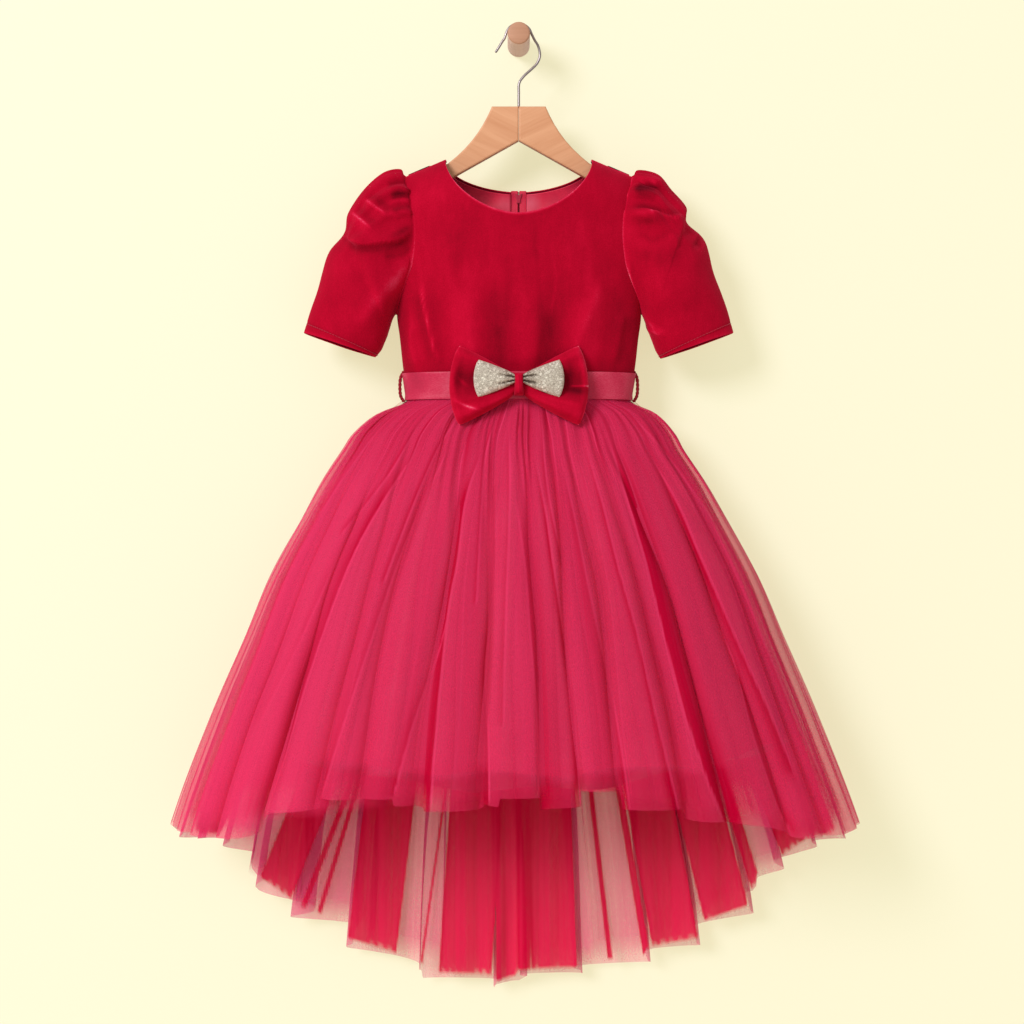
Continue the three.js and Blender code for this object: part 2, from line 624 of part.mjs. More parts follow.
// Hanger: two wooden arms that meet at the centre, a wire hook and the wall peg.
function addHanger() {
  const underSeam = (x) => shoulderZ(x) - hanger.underShoulder;
  const arm = new THREE.Shape();
  arm.moveTo(seam / 2, hanger.top);
  arm.lineTo(hanger.crownHalf, hanger.top);
  arm.bezierCurveTo(...hanger.flare, bodice.neckHalf - 2.5, bodice.neckZ - 4.8);
  arm.lineTo(bodice.neckHalf + 5, underSeam(bodice.neckHalf + 5));
  arm.lineTo(hanger.tipX - 6, underSeam(hanger.tipX - 6));
  arm.quadraticCurveTo(hanger.tipX + 3, hanger.tipTopZ, hanger.tipX - 1, hanger.tipOuterZ);
  arm.quadraticCurveTo(hanger.tipX - 5, hanger.tipOuterZ - 9, hanger.tipX - 16, hanger.tipLowZ);
  arm.lineTo(seam / 2, hanger.apex);
  arm.closePath();
  const geometry = new THREE.ExtrudeGeometry(arm, {
    depth: hanger.thickness - 2 * hanger.bevel,
    curveSegments: 7,
    bevelSize: hanger.bevel,
    bevelOffset: -hanger.bevel,
    bevelThickness: hanger.bevel,
    bevelSegments: 2,
  });
  // The shape was drawn in X and Z: its extrusion now runs along -Y, through the hanger's plane.
  geometry.rotateX(Math.PI / 2).translate(0, hangY + hanger.thickness / 2 - hanger.bevel, 0);
  add("hanger_arm_left", geometry, paleWood);
  const other = geometry.clone().scale(-1, 1, 1);
  const swapped = mergeVertices(other.deleteAttribute("normal").deleteAttribute("uv"));
  swapped.index.array.reverse();
  add("hanger_arm_right", swapped, paleWood);
}

function addHook() {
  const archRadius = peg.radius + seam + wire.radius + wire.clear;
  const rise = [
    [0, hanger.top + seam],
    [0, -60],
    [0.4, -49],
    [5, -41.8],
    [12.8, -34.6],
    [19.2, -28],
    [22.2, -19.5],
    [20.4, -10],
    [16.6, -3.4],
  ];
  const arch = steps(6, 14, 168).map((degrees) => {
    const turn = degToRad(degrees);
    return [archRadius * Math.cos(turn), archRadius * Math.sin(turn)];
  });
  const tip = [
    [-14.9, -1.6],
    [-17.6, -5.6],
    [-20.6, -10.6],
    [-23.8, -15.6],
  ];
  const points = [...rise, ...arch, ...tip].map(([x, z]) => new THREE.Vector3(x, hangY, z));
  const path = new THREE.CatmullRomCurve3(points, false, "centripetal");
  add("hanger_hook", tube(path, wire.radius, wire.sides, wire.steps), steel);
}

function addPeg() {
  const shaft = new THREE.CylinderGeometry(peg.radius, peg.radius, peg.length, peg.sides);
  add("wall_peg", shaft.translate(0, -peg.length / 2, 0), paleWood);
}

addBodice();
addBackLining();
addSleeve("sleeve_left", leftSleeveTable, false);
addSleeve("sleeve_right", rightSleeveTable, true);
addSkirtLayer("tulle", net, skirt, tulleRows, tullePoint, tullePink);
addSkirtLayer("underskirt", satin, underskirt, satinRows, satinPoint, satinRose);
addBelt();
addBeltLoops();
addBow();
addZip();
addHanger();
addHook();
addPeg();

export default group;
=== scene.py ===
"""Looks of a toddler's party dress on its hanger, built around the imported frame.

Sizes in the functions are millimetres, in the row frame: +Z up, front towards -Y, the wearer's left
at +X, and the origin at the centre of the peg's back face. Meshes are written in metres.
"""

import math

import bpy
import numpy as np
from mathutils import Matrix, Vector


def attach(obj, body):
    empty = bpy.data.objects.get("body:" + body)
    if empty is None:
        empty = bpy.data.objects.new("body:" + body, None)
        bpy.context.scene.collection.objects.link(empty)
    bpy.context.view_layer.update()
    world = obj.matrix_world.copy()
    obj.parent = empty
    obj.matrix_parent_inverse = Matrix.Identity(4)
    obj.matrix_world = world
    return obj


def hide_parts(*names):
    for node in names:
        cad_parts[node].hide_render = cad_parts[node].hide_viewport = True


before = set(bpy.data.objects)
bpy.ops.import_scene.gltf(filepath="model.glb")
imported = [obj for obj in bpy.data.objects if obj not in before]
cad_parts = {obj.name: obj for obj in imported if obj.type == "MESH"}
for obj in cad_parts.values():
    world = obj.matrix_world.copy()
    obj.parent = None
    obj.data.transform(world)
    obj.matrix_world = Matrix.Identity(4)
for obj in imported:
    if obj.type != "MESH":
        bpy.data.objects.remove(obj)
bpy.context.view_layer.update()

MM = 0.001
TINY = 1e-9
SIDES = (("left", 1), ("right", -1))
HANG_Y = -48.0  # the plane of the hanger and of the side seams
SEAM = 0.3  # what pieces keep between them
VELVET, SATIN, UNDERSKIRT = 1.5, 1.0, 0.8
LINING_GAP = 1.4
SLEEVE_GAP = 0.9
NECK_HALF, NECK_Z = 77.2, -129.4
TIP_X, TIP_Z = 119.4, -147.3
FRONT_DROP, BACK_DROP, SCOOP = 61.2, 29.0, 1.8
UNDERARM_Z, WAIST_Z = -292.0, -376.0
FLATNESS, SHOULDER_ROUND = 2.4, 42.0
BACK_EDGE_X, LINING_EDGE_X = 1.8 + SEAM, 8 + SEAM
ZIP_SEAM_X, ZIP_BOTTOM, COIL_TURNS = 9.5, -352, 152
HEM_ROW, STITCH_ROW = 9, 8.78  # places along a sleeve's table
BELT_TOP, BELT_BOTTOM, BELT_STAND = -354.0, -381.6, 2.5
STRAND, TWIST = 1.25, 0.65  # radius of a loop's strands, and how far each lies from its middle
SKIRT_TOP = -376.3
LINING_FOLDS = 20
BOW_Z, KNOT_HALF, SMALL_BOW_STAND = -369.0, 5.3, 11.5
HOOK_WIRE, ARCH_RADIUS, PEG_END_Y, PEG_SIDES = 2.7, 13.7, -66.5, 72


# Numbers and curves


def curve(*rows):
    """A smooth curve through (at, value) pairs, read at any number of places."""
    at, value = np.array(sorted(rows), float).T
    count = len(at)
    before = np.maximum(np.arange(count) - 1, 0)
    after = np.minimum(np.arange(count) + 1, count - 1)
    slope = (value[after] - value[before]) / (at[after] - at[before])

    def read(x):
        x = np.clip(x, at[0], at[-1])
        i = np.clip(np.searchsorted(at, x, side="left") - 1, 0, count - 2)
        span = at[i + 1] - at[i]
        s = (x - at[i]) / span
        rise = s * s * (3 - 2 * s)
        return (
            value[i] * (1 - rise)
            + value[i + 1] * rise
            + slope[i] * span * s * (1 - s) ** 2
            - slope[i + 1] * span * s * s * (1 - s)
        )

    return read


def line(*rows):
    """Straight runs between (at, value) pairs."""
    at, value = np.array(rows, float).T
    return lambda x: np.interp(x, at, value)


def ease(x, low, high):
    """0 below low, 1 above high, smooth between. With low above high it runs the other way."""
    s = np.clip((x - low) / (high - low), 0, 1)
    return s * s * (3 - 2 * s)


def bump(x, middle, width):
    return np.exp(-(((x - middle) / width) ** 2))


def wander(a, b, seed):
    """A smooth irregular value, about -1 to 1, over the plane of a and b."""
    draw = np.random.default_rng(int(seed))
    total = 0.0
    for _ in range(7):
        pace = draw.uniform(0.6, 2.2)
        way = draw.uniform(0, math.pi)
        start = draw.uniform(0, 2 * math.pi)
        total = total + np.sin(pace * (a * math.cos(way) + b * math.sin(way)) + start)
    return total / 3.2


def tint(code):
    """Linear colour of a hex code."""
    parts = [int(code[i : i + 2], 16) / 255 for i in (1, 3, 5)]
    return [c / 12.92 if c <= 0.04045 else ((c + 0.055) / 1.055) ** 2.4 for c in parts] + [1]


# Tables of the garment, the same as the solids have

side_x = curve(
    (-376, 117.4), (-354, 120.4), (-320, 123.9), (-292, 127.5), (-279, 125.4), (-258, 117.2),
    (-239, 110.8), (-205, 107.5), (-174, 111.8), (-147.3, 119.4), (-129, 119.4),
)
form_width = curve((-376, 117.4), (-354, 120.4), (-292, 127.5), (-129, 127.5))
form_depth = curve((-376, 38), (-354, 38.5), (-292, 42), (-129, 40))

SKIRT = [
    # z, half width, lean, front, middle, back, fold height, boxiness of the back
    (-376, 117.1, 0, -86, -48, -10, 0.5, 2.4),
    (-380, 117.2, 0, -86.1, -48, -9.9, 0.5, 2.4),
    (-384, 117.8, 0, -86.4, -48, -9.7, 0.6, 2.4),
    (-395, 144, -1.5, -90.5, -49, -11, 2.4, 2.6),
    (-416, 167, -4, -98, -51, -12.5, 3.6, 2.9),
    (-434, 178, -5, -107, -53, -13, 4.6, 3.1),
    (-466, 199, -5, -122, -57, -13.5, 6, 3.3),
    (-500, 218, -5, -138, -61, -14, 7, 3.5),
    (-565, 253, -5, -161, -68, -14, 8.2, 3.7),
    (-631, 280, -5, -180, -74, -14, 9.2, 3.8),
    (-705, 311, -5, -199, -81, -14, 10.2, 3.9),
    (-816, 353, -4, -222, -90, -14.5, 11, 4),
    (-900, 376, -2, -234, -94, -15, 11.5, 4),
    (-1010, 398, 0, -244, -97, -15, 12, 4),
]
skirt_width, skirt_lean, skirt_front, skirt_middle, skirt_back, fold_height, skirt_boxy = (
    curve(*[(row[0], row[i]) for row in SKIRT]) for i in range(1, 8)
)
tulle_hem = curve(
    (0, -786), (20, -792), (38, -811), (52, -822), (70, -822), (90, -819), (110, -843),
    (125, -866), (137, -895), (150, -948), (165, -985), (180, -1003),
)
satin_hem = curve(
    (0, -758), (20, -755), (38, -748), (52, -741), (70, -734), (90, -730), (110, -738),
    (125, -748), (137, -758), (150, -774), (165, -788), (180, -792),
)
satin_inset = curve(
    (0, 9), (20, 11), (38, 13), (52, 16), (70, 21), (90, 26), (110, 21), (125, 16), (137, 12),
    (150, 7), (165, 5), (180, 4),
)
LEFT_SLEEVE = [
    # top x, top z, low x, low z, half depth, gather height, share of the armhole
    (120, -147, 128.3, -291, 24, 0, 1),
    (125.4, -142.3, 129.6, -291.4, 28, 2.2, 0.7),
    (146, -147.5, 131.6, -296, 34, 2.6, 0.36),
    (159.6, -162.5, 133, -300, 38, 1.8, 0.14),
    (175.8, -180, 134.6, -305, 40, 1, 0.04),
    (177, -195.4, 136, -309, 39.2, 0.4, 0),
    (195.4, -214, 138, -315, 38, 0, 0),
    (204, -246, 141, -323, 35, 0, 0),
    (213.5, -271, 143.6, -330, 32, 0, 0),
    (225.2, -310.2, 148, -337.6, 28.5, 0, 0),
]
RIGHT_SLEEVE = [
    (120, -147, 128.3, -291, 24, 0, 1),
    (124.2, -141.4, 129.6, -291.4, 28, 2.2, 0.7),
    (142, -145.6, 131.6, -295, 34, 2.6, 0.36),
    (161.5, -162, 133, -299, 38.5, 1.8, 0.14),
    (179, -186, 134.4, -304, 40.5, 1, 0.04),
    (183.4, -206, 136, -309, 37, 0.4, 0),
    (198.6, -225, 138, -315, 38, 0, 0),
    (206.4, -248, 141, -322, 35, 0, 0),
    (213.5, -273, 144, -329, 32, 0, 0),
    (225.4, -310.3, 149.6, -336.2, 28.5, 0, 0),
]

# Meshes


def xyz(x, y, z):
    """Points from their coordinates."""
    return np.stack(np.broadcast_arrays(x, y, z), -1)


def normals(points, loop=False):
    """Unit normals of a grid whose columns run right and rows run up, seen from outside."""
    if loop:
        across = np.roll(points, -1, 1) - np.roll(points, 1, 1)
    else:
        across = np.gradient(points, axis=1)
    normal = np.cross(across, np.gradient(points, axis=0))
    return normal / np.maximum(np.linalg.norm(normal, axis=2, keepdims=True), TINY)


def mirrored(sign, *grids):
    """The same grids, or for sign -1 those of the other side, whose columns still run right."""
    if sign > 0:
        return grids
    return [grid[:, ::-1] * [-1, 1, 1] if grid.ndim == 3 else grid[:, ::-1] for grid in grids]


def grid_faces(index, rows_loop=False, columns_loop=False):
    if rows_loop:
        index = np.vstack([index, index[:1]])
    if columns_loop:
        index = np.hstack([index, index[:, :1]])
    corners = [index[:-1, :-1], index[:-1, 1:], index[1:, 1:], index[1:, :-1]]
    return np.stack(corners, -1).reshape(-1, 4)


def make_mesh(name, points, faces, fields=None, uv=None, finish_of_face=None, smooth=True):
    mesh = bpy.data.meshes.new(name)
    faces = [list(map(int, face)) for face in faces]
    mesh.from_pydata((points * MM).tolist(), [], faces)
    for key, values in (fields or {}).items():
        layer = mesh.attributes.new(key, "FLOAT", "POINT")
        layer.data.foreach_set("value", np.asarray(values, np.float32).ravel())
    if uv is not None:
        layer = mesh.uv_layers.new(name="UVMap")
        corner = np.empty(len(mesh.loops), np.int32)
        mesh.loops.foreach_get("vertex_index", corner)
        layer.data.foreach_set("uv", np.asarray(uv, np.float32)[corner].ravel())
    if finish_of_face is not None:
        mesh.polygons.foreach_set("material_index", np.asarray(finish_of_face, np.int32))
    mesh.polygons.foreach_set("use_smooth", np.full(len(mesh.polygons), smooth))
    mesh.validate()
    return mesh


def grid_uv(rows, columns):
    """Shares of the way right and up a grid, one pair a point."""
    across, up = np.meshgrid(np.linspace(0, 1, columns), np.linspace(0, 1, rows))
    return np.stack([across.ravel(), up.ravel()], -1)


def sheet_mesh(name, points, fields):
    """A single cloth surface."""
    rows, columns = points.shape[:2]
    faces = grid_faces(np.arange(rows * columns).reshape(rows, columns))
    return make_mesh(name, points.reshape(-1, 3), faces, fields, grid_uv(rows, columns))


def turned_out(points, faces):
    """The faces of a closed mesh, turned so that they point out."""
    a, b, c, d = (points[faces[:, i]] for i in range(4))
    volume = np.sum(a * np.cross(b, c)) + np.sum(a * np.cross(c, d))
    return faces if volume > 0 else faces[:, ::-1]


RIM_TURNS = (0.25, 0.5, 0.75)  # rows that round a rim, as shares of half a turn
DOME_TURNS = (0.5, 1.0, 1.4)  # rings that round the end of a bar, in radians


def shell_mesh(name, outer, inner, tone, loop=False, rim=(1.0, 1.0)):
    """A cloth wall between two grids. Its first and last rows get a rounded edge, as high as rim
    says. Faces on the inner side take the second finish."""
    rows, columns = outer.shape[:2]
    half = np.linalg.norm(outer - inner, axis=2).mean() / 2

    def edge(row, beyond, height):
        out = outer[row] + inner[row] - outer[beyond] - inner[beyond]
        out = out / np.maximum(np.linalg.norm(out, axis=1, keepdims=True), TINY)
        height = np.broadcast_to(np.asarray(height, float), (columns,))[:, None]
        strips = []
        for turn in RIM_TURNS:
            share = (1 - math.cos(turn * math.pi)) / 2
            lift = out * half * height * math.sin(turn * math.pi)
            strips.append(outer[row] * (1 - share) + inner[row] * share + lift)
        return strips

    bottom, top = rim
    more = len(RIM_TURNS)
    points = np.array([*outer, *edge(-1, -2, top), *inner[::-1], *edge(0, 1, bottom)[::-1]])
    index = np.arange(points.shape[0] * columns).reshape(-1, columns)
    spans = columns if loop else columns - 1
    finish = np.repeat([0] * (rows + more) + [1] * (rows - 1) + [0] * (more + 1), spans)
    tones = [*tone, *[tone[-1]] * more, *tone[::-1], *[tone[0]] * more]
    points = points.reshape(-1, 3)
    faces = turned_out(points, grid_faces(index, True, loop)).tolist()
    side_faces, last = [], 2 * rows + more - 1
    for column in () if loop else (0, columns - 1):
        ring = index[:, column]
        for row in range(rows - 1):
            far = last - row
            side_faces.append([ring[row], ring[row + 1], ring[far - 1], ring[far]])
        side_faces.append(ring[rows - 1 : rows + more + 1])
        side_faces.append([*ring[last:], ring[0]])
    finish = np.concatenate([finish, np.zeros(len(side_faces), int)])
    fields = {"tone": np.array(tones)}
    return make_mesh(name, points, faces + side_faces, fields, grid_uv(*index.shape), finish)


def ring_mesh(name, rings, closed_ends):
    """A surface through closed rings of points."""
    points = np.array(rings)
    index = np.arange(points.shape[0] * points.shape[1]).reshape(points.shape[:2])
    points = points.reshape(-1, 3)
    faces = turned_out(points, grid_faces(index, columns_loop=True)).tolist()
    if closed_ends:
        faces += [index[0], index[-1][::-1]]
    return make_mesh(name, points, faces)


def tube_mesh(name, path, radius, sides=12):
    """A round bar along a path of points, with rounded ends."""
    path = np.array(path, float)
    ahead = np.gradient(path, axis=0)
    ahead /= np.linalg.norm(ahead, axis=1, keepdims=True)
    side = np.cross(ahead[0], [0.3, 1, 0.2])
    turns = np.arange(sides) * 2 * math.pi / sides
    rings = []
    for point, way in zip(path, ahead):
        side = side - way * np.dot(side, way)
        side = side / np.linalg.norm(side)
        other = np.cross(way, side)
        rings.append([point + radius * (math.cos(t) * side + math.sin(t) * other) for t in turns])
    for end, away in ((0, -ahead[0]), (-1, ahead[-1])):
        middle, base = path[end], np.array(rings[end])
        dome = [
            middle + (base - middle) * math.cos(a) + away * radius * math.sin(a)
            for a in DOME_TURNS
        ]
        rings = [*rings, *dome] if end else [*dome[::-1], *rings]
    return ring_mesh(name, rings, True)


def joined(name, meshes):
    """Several meshes as one."""
    points, faces, start = [], [], 0
    for mesh in meshes:
        place = np.empty(len(mesh.vertices) * 3)
        mesh.vertices.foreach_get("co", place)
        points.append(place.reshape(-1, 3) / MM)
        faces += [[v + start for v in p.vertices] for p in mesh.polygons]
        start += len(mesh.vertices)
        bpy.data.meshes.remove(mesh)
    return make_mesh(name, np.concatenate(points), faces)


def add_object(name, data):
    obj = bpy.data.objects.new(name, data)
    bpy.context.scene.collection.objects.link(obj)
    return obj


def add_piece(mesh, finishes, slot, *nodes):
    piece = add_object(mesh.name, mesh)
    for finish in finishes:
        mesh.materials.append(finish)
    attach(piece, "root")
    if nodes:
        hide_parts(*nodes)
    return piece


def add_cloth(mesh, finishes, slot, node, held, *rests_on):
    """A piece of cloth in place of one node."""
    piece = add_piece(mesh, finishes, slot, node)


def painted(node, finish):
    """The frame's own solid with a finish."""
    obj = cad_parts[node]
    for place in obj.material_slots:
        place.material = finish
    return obj


# Finishes


class Finish:
    """A node material. add() makes a node whose inputs are values or other nodes' outputs."""

    def __init__(self, name):
        self.material = bpy.data.materials.new(name)
        self.material.use_nodes = True
        self.tree = self.material.node_tree
        self.tree.nodes.clear()
        self.shader = self.add("ShaderNodeBsdfPrincipled")
        self.output = self.add("ShaderNodeOutputMaterial", Surface=self.shader.outputs[0])

    def plug(self, socket, value):
        if isinstance(value, bpy.types.NodeSocket):
            self.tree.links.new(value, socket)
        else:
            socket.default_value = value

    def add(self, kind, settings=None, **inputs):
        node = self.tree.nodes.new(kind)
        for key, value in (settings or {}).items():
            setattr(node, key, value)
        for key, value in inputs.items():
            self.plug(node.inputs[key.replace("_", " ")], value)
        return node

    def look(self, **inputs):
        for key, value in inputs.items():
            self.plug(self.shader.inputs[key.replace("_", " ")], value)

    def field(self, name):
        return self.add("ShaderNodeAttribute", {"attribute_name": name}).outputs["Fac"]

    def place(self, scale=(1, 1, 1), source="Object", turn=(0, 0, 0)):
        at = self.add("ShaderNodeTexCoord").outputs[source]
        return self.add("ShaderNodeMapping", Vector=at, Scale=scale, Rotation=turn).outputs[0]

    def noise(self, place, scale, detail=3.0, roughness=0.55):
        inputs = {"Vector": place, "Scale": scale, "Detail": detail, "Roughness": roughness}
        return self.add("ShaderNodeTexNoise", **inputs).outputs["Fac"]

    def math(self, operation, *values, clamp=False):
        node = self.add("ShaderNodeMath", {"operation": operation, "use_clamp": clamp})
        for socket, value in zip(node.inputs, values):
            self.plug(socket, value)
        return node.outputs[0]

    def vary(self, level, pattern, amount, clamp=False):
        """A level with a pattern laid over it. Where the pattern is 0.5, it changes nothing."""
        swing = self.math("SUBTRACT", pattern, 0.5)
        return self.math("MULTIPLY_ADD", swing, amount, level, clamp=clamp)

    def ramp(self, value, *stops):
        node = self.add("ShaderNodeValToRGB", Fac=value)
        bar = node.color_ramp
        bar.elements[0].position, bar.elements[0].color = stops[0][0], tint(stops[0][1])
        bar.elements[1].position, bar.elements[1].color = stops[-1][0], tint(stops[-1][1])
        for at, code in stops[1:-1]:
            bar.elements.new(at).color = tint(code)
        return node.outputs["Color"]

    def relief(self, *layers):
        """Bump from (height, distance in mm) layers."""
        normal = {}
        for height, distance in layers:
            inputs = {"Height": height, "Distance": distance * MM, "Strength": 1.0, **normal}
            normal = {"Normal": self.add("ShaderNodeBump", **inputs).outputs[0]}
        self.look(**normal)


def velvet_finish(name, inside=False):
    f = Finish(name)
    place = f.place()
    crush = f.noise(place, 26.0, 3.0, 0.5)
    brushed = f.noise(f.place((1, 1, 0.45)), 85.0, 3.0, 0.6)
    streak = f.noise(f.place((1, 1, 0.3)), 190.0, 2.0)
    pile = f.noise(place, 1000.0, 2.0)
    # The tone field brings painted highlights and painted shade from the mesh, and the ramp turns
    # it into pale pink and deep red.
    level = f.math("MULTIPLY_ADD", f.field("tone"), 0.5, 0.5)
    for pattern, amount in ((crush, 0.2), (brushed, 0.16), (streak, 0.1)):
        level = f.vary(level, pattern, amount)
    level = f.vary(level, pile, 0.4, clamp=True)
    # The inside is a darker copy of the velvet without sheen: painted shade.
    if inside:
        stops = ((0, "#4A000F"), (1, "#8C0A28"))
    else:
        stops = ((0.0, "#5C0012"), (0.25, "#8C001C"), (0.5, "#AE0026"), (0.7, "#C60632"),
                 (0.88, "#D82E56"), (1.0, "#EE8298"))
    f.look(Base_Color=f.ramp(level, *stops), Roughness=0.85, Specular_IOR_Level=0.06)
    f.look(Sheen_Weight=0.0 if inside else 0.45, Sheen_Roughness=0.5, Sheen_Tint=tint("#FF3A66"))
    f.relief((pile, 0.25), (crush, 1.2))
    return f.material


def satin_finish(name, base, deep, sparkle=0.0):
    f = Finish(name)
    soft = f.noise(f.place(), 30.0, 3.0)
    threads = f.noise(f.place((1, 1, 14)), 500.0, 2.0)
    # The tone field brings painted shade and painted highlights from the mesh where it has them.
    level = f.vary(f.math("MULTIPLY_ADD", f.field("tone"), 0.5, 0.5), soft, 0.5)
    level = f.vary(level, threads, 0.25 + sparkle, clamp=True)
    f.look(Base_Color=f.ramp(level, (0, deep), (0.5, base), (1, "#E4708A")))
    f.look(Roughness=f.math("MULTIPLY_ADD", threads, 0.25, 0.25))
    f.look(Specular_IOR_Level=0.25, Anisotropic=0.5)
    f.relief((threads, 0.08), (soft, 0.5))
    return f.material


def tulle_finish(name, pale, deep, holes=0.5):
    """Net: how much of it covers and how deep its colour is come with the mesh; the depth holds
    painted shade and painted highlights.
    """
    f = Finish(name)
    streaks = f.noise(f.place((420, 2.5, 1), "UV"), 1.0, 3.0, 0.6)
    mesh_holes = f.noise(f.place(), 900.0, 1.0)
    veil = f.vary(f.vary(1.0, streaks, holes), mesh_holes, holes)
    alpha = f.math("MULTIPLY", f.field("veil"), veil, clamp=True)
    level = f.vary(f.field("depth"), streaks, 0.5, clamp=True)
    f.look(Base_Color=f.ramp(level, (0, pale), (1, deep)), Alpha=alpha, Roughness=0.75)
    f.look(Specular_IOR_Level=0.0)
    return f.material


def glitter_finish(name):
    f = Finish(name)
    place = f.place()
    grain = f.add("ShaderNodeTexVoronoi", Vector=place, Scale=1700.0)
    spark = f.add("ShaderNodeTexVoronoi", Vector=place, Scale=520.0)
    level = f.add("ShaderNodeSeparateColor", Color=grain.outputs["Color"]).outputs[0]
    # The rare bright cells are painted glints.
    rare = f.add("ShaderNodeSeparateColor", Color=spark.outputs["Color"]).outputs[1]
    lit = f.math("MULTIPLY", f.math("POWER", rare, 7.0), 0.5)
    level = f.math("ADD", f.math("MULTIPLY_ADD", level, 0.4, 0.15), lit)
    # The tone field adds painted shade and painted highlights.
    level = f.math("MULTIPLY_ADD", f.field("tone"), 0.5, level, clamp=True)
    stops = ((0, "#5A4C42"), (0.25, "#B2A698"), (0.55, "#E6DFD4"), (1, "#FFFBF0"))
    f.look(Base_Color=f.ramp(level, *stops), Roughness=0.42, Metallic=0.35)
    f.relief((grain.outputs["Distance"], 0.5))
    return f.material


def wood_finish(name, base, dark, turn=0.0):
    """Wood with its grain along x, turned about y."""
    f = Finish(name)
    place = f.place(turn=(0, turn, 0))

    def drawn_out(scale):
        return f.add("ShaderNodeMapping", Vector=place, Scale=scale).outputs[0]

    grain = f.noise(drawn_out((3, 40, 40)), 2.2, 4.0)
    fine = f.noise(drawn_out((10, 260, 260)), 2.0, 3.0)
    level = f.vary(f.vary(0.55, grain, 1.5), fine, 0.6, clamp=True)
    f.look(Base_Color=f.ramp(level, (0, dark), (1, base)), Roughness=0.5, Specular_IOR_Level=0.35)
    f.relief((fine, 0.15))
    return f.material


def metal_finish(name, base, roughness=0.3):
    f = Finish(name)
    mark = f.noise(f.place((1, 1, 6)), 300.0, 3.0)
    level = f.vary(0.6, mark, 0.8, clamp=True)
    f.look(Base_Color=f.ramp(level, (0, "#5E5557"), (1, base)), Metallic=0.85)
    f.look(Roughness=f.math("MULTIPLY_ADD", mark, 0.25, roughness - 0.1))
    f.relief((mark, 0.05))
    return f.material


def thread_finish(name, base, deep):
    f = Finish(name)
    ply = f.noise(f.place(), 2200.0, 2.0)
    f.look(Base_Color=f.ramp(ply, (0.2, deep), (0.8, base)), Roughness=0.8)
    f.look(Specular_IOR_Level=0.2, Sheen_Weight=0.2)
    f.relief((ply, 0.15))
    return f.material


velvet = velvet_finish("velvet")
# A darker copy of the velvet for the inner faces, as painted shade.
velvet_inside_shaded = velvet_finish("velvet_inside_shaded", True)
lining = satin_finish("lining_satin", "#F23256", "#B81E42")
underskirt_satin = satin_finish("underskirt_satin", "#CE0836", "#A00426")
ribbon = satin_finish("belt_satin", "#CA244E", "#A01238", 0.9)
# A darker copy of the underskirt satin for its inner faces, as painted shade.
underskirt_inside_shaded = satin_finish("underskirt_inside_shaded", "#96042A", "#6E0018")
tulle = tulle_finish("tulle", "#F23E72", "#BE0032")
tulle_back = tulle_finish("tulle_back", "#F44E90", "#C81246")
tulle_deep = tulle_finish("tulle_deep", "#E42452", "#D00A3C", 0.12)
glitter = glitter_finish("glitter")
arm_wood_left = wood_finish("arm_wood_left", "#E6AC86", "#CB8B64", 0.45)
arm_wood_right = wood_finish("arm_wood_right", "#E6AC86", "#CB8B64", -0.45)
peg_wood = wood_finish("peg_wood", "#F2D2C2", "#E0BAA4")
peg_end = wood_finish("peg_end", "#CC9A80", "#B07E64")
wire_metal = metal_finish("wire_metal", "#B9AEB1")
zip_metal = metal_finish("zip_metal", "#C98A95", 0.35)
thread = thread_finish("thread", "#CC2A50", "#A00A2C")
cord_thread = thread_finish("cord_thread", "#B0142F", "#6E0A18")
slider_paint = thread_finish("slider_paint", "#D8405E", "#B42242")

# Folds drawn on the front of the cloth


def smooth_path(path, count=28):
    path = np.array(path, float)
    at = np.arange(len(path))
    fine = np.linspace(0, len(path) - 1, count)
    return np.stack([curve(*zip(at, path[:, i]))(fine) for i in (0, 1)], -1)


def along(x, z, path):
    """Distance from a line, positive on the left of its way, and the share of the way along it."""
    path = smooth_path(path)
    best = np.full(x.shape, 1e9)
    side, share = np.zeros(x.shape), np.zeros(x.shape)
    spans = len(path) - 1
    for i in range(spans):
        (ax, az), (bx, bz) = path[i], path[i + 1]
        dx, dz = bx - ax, bz - az
        t = np.clip(((x - ax) * dx + (z - az) * dz) / (dx * dx + dz * dz + TINY), 0, 1)
        gap_x, gap_z = x - ax - t * dx, z - az - t * dz
        gap = np.hypot(gap_x, gap_z)
        near = gap < best
        best = np.where(near, gap, best)
        side = np.where(near, np.sign(dx * gap_z - dz * gap_x), side)
        share = np.where(near, (i + t) / spans, share)
    return best * side, share


def faded(share, margin, strength):
    """1 along most of a line, fading towards its ends."""
    return np.clip(np.sin(np.pi * np.clip(share, margin, 1 - margin)) * strength, 0, 1)


def folds_at(x, z, folds):
    """Height of drawn folds, and their tone, which is painted light. A fold is (path, height, width
    on its left, width on its right, tone of its crest, painted highlight where it is positive and
    painted shade where it is negative, tone of the hollow beyond its steeper side, painted shade)."""
    height, tone = np.zeros(x.shape), np.zeros(x.shape)
    for path, high, left, right, crest, hollow in folds:
        gap, share = along(x, z, path)
        fade = faded(share, 0.02, 1.8)
        height += high * fade * bump(gap, 0, np.where(gap > 0, left, right))
        steep = min(left, right)
        way = -1 if right < left else 1
        tone += crest * fade * bump(gap, 0, max(1.1, 0.45 * steep))
        tone += hollow * fade * bump(gap * way, 1.6 * steep + 1.5, 1.2 * steep + 1.6)
    return height, tone


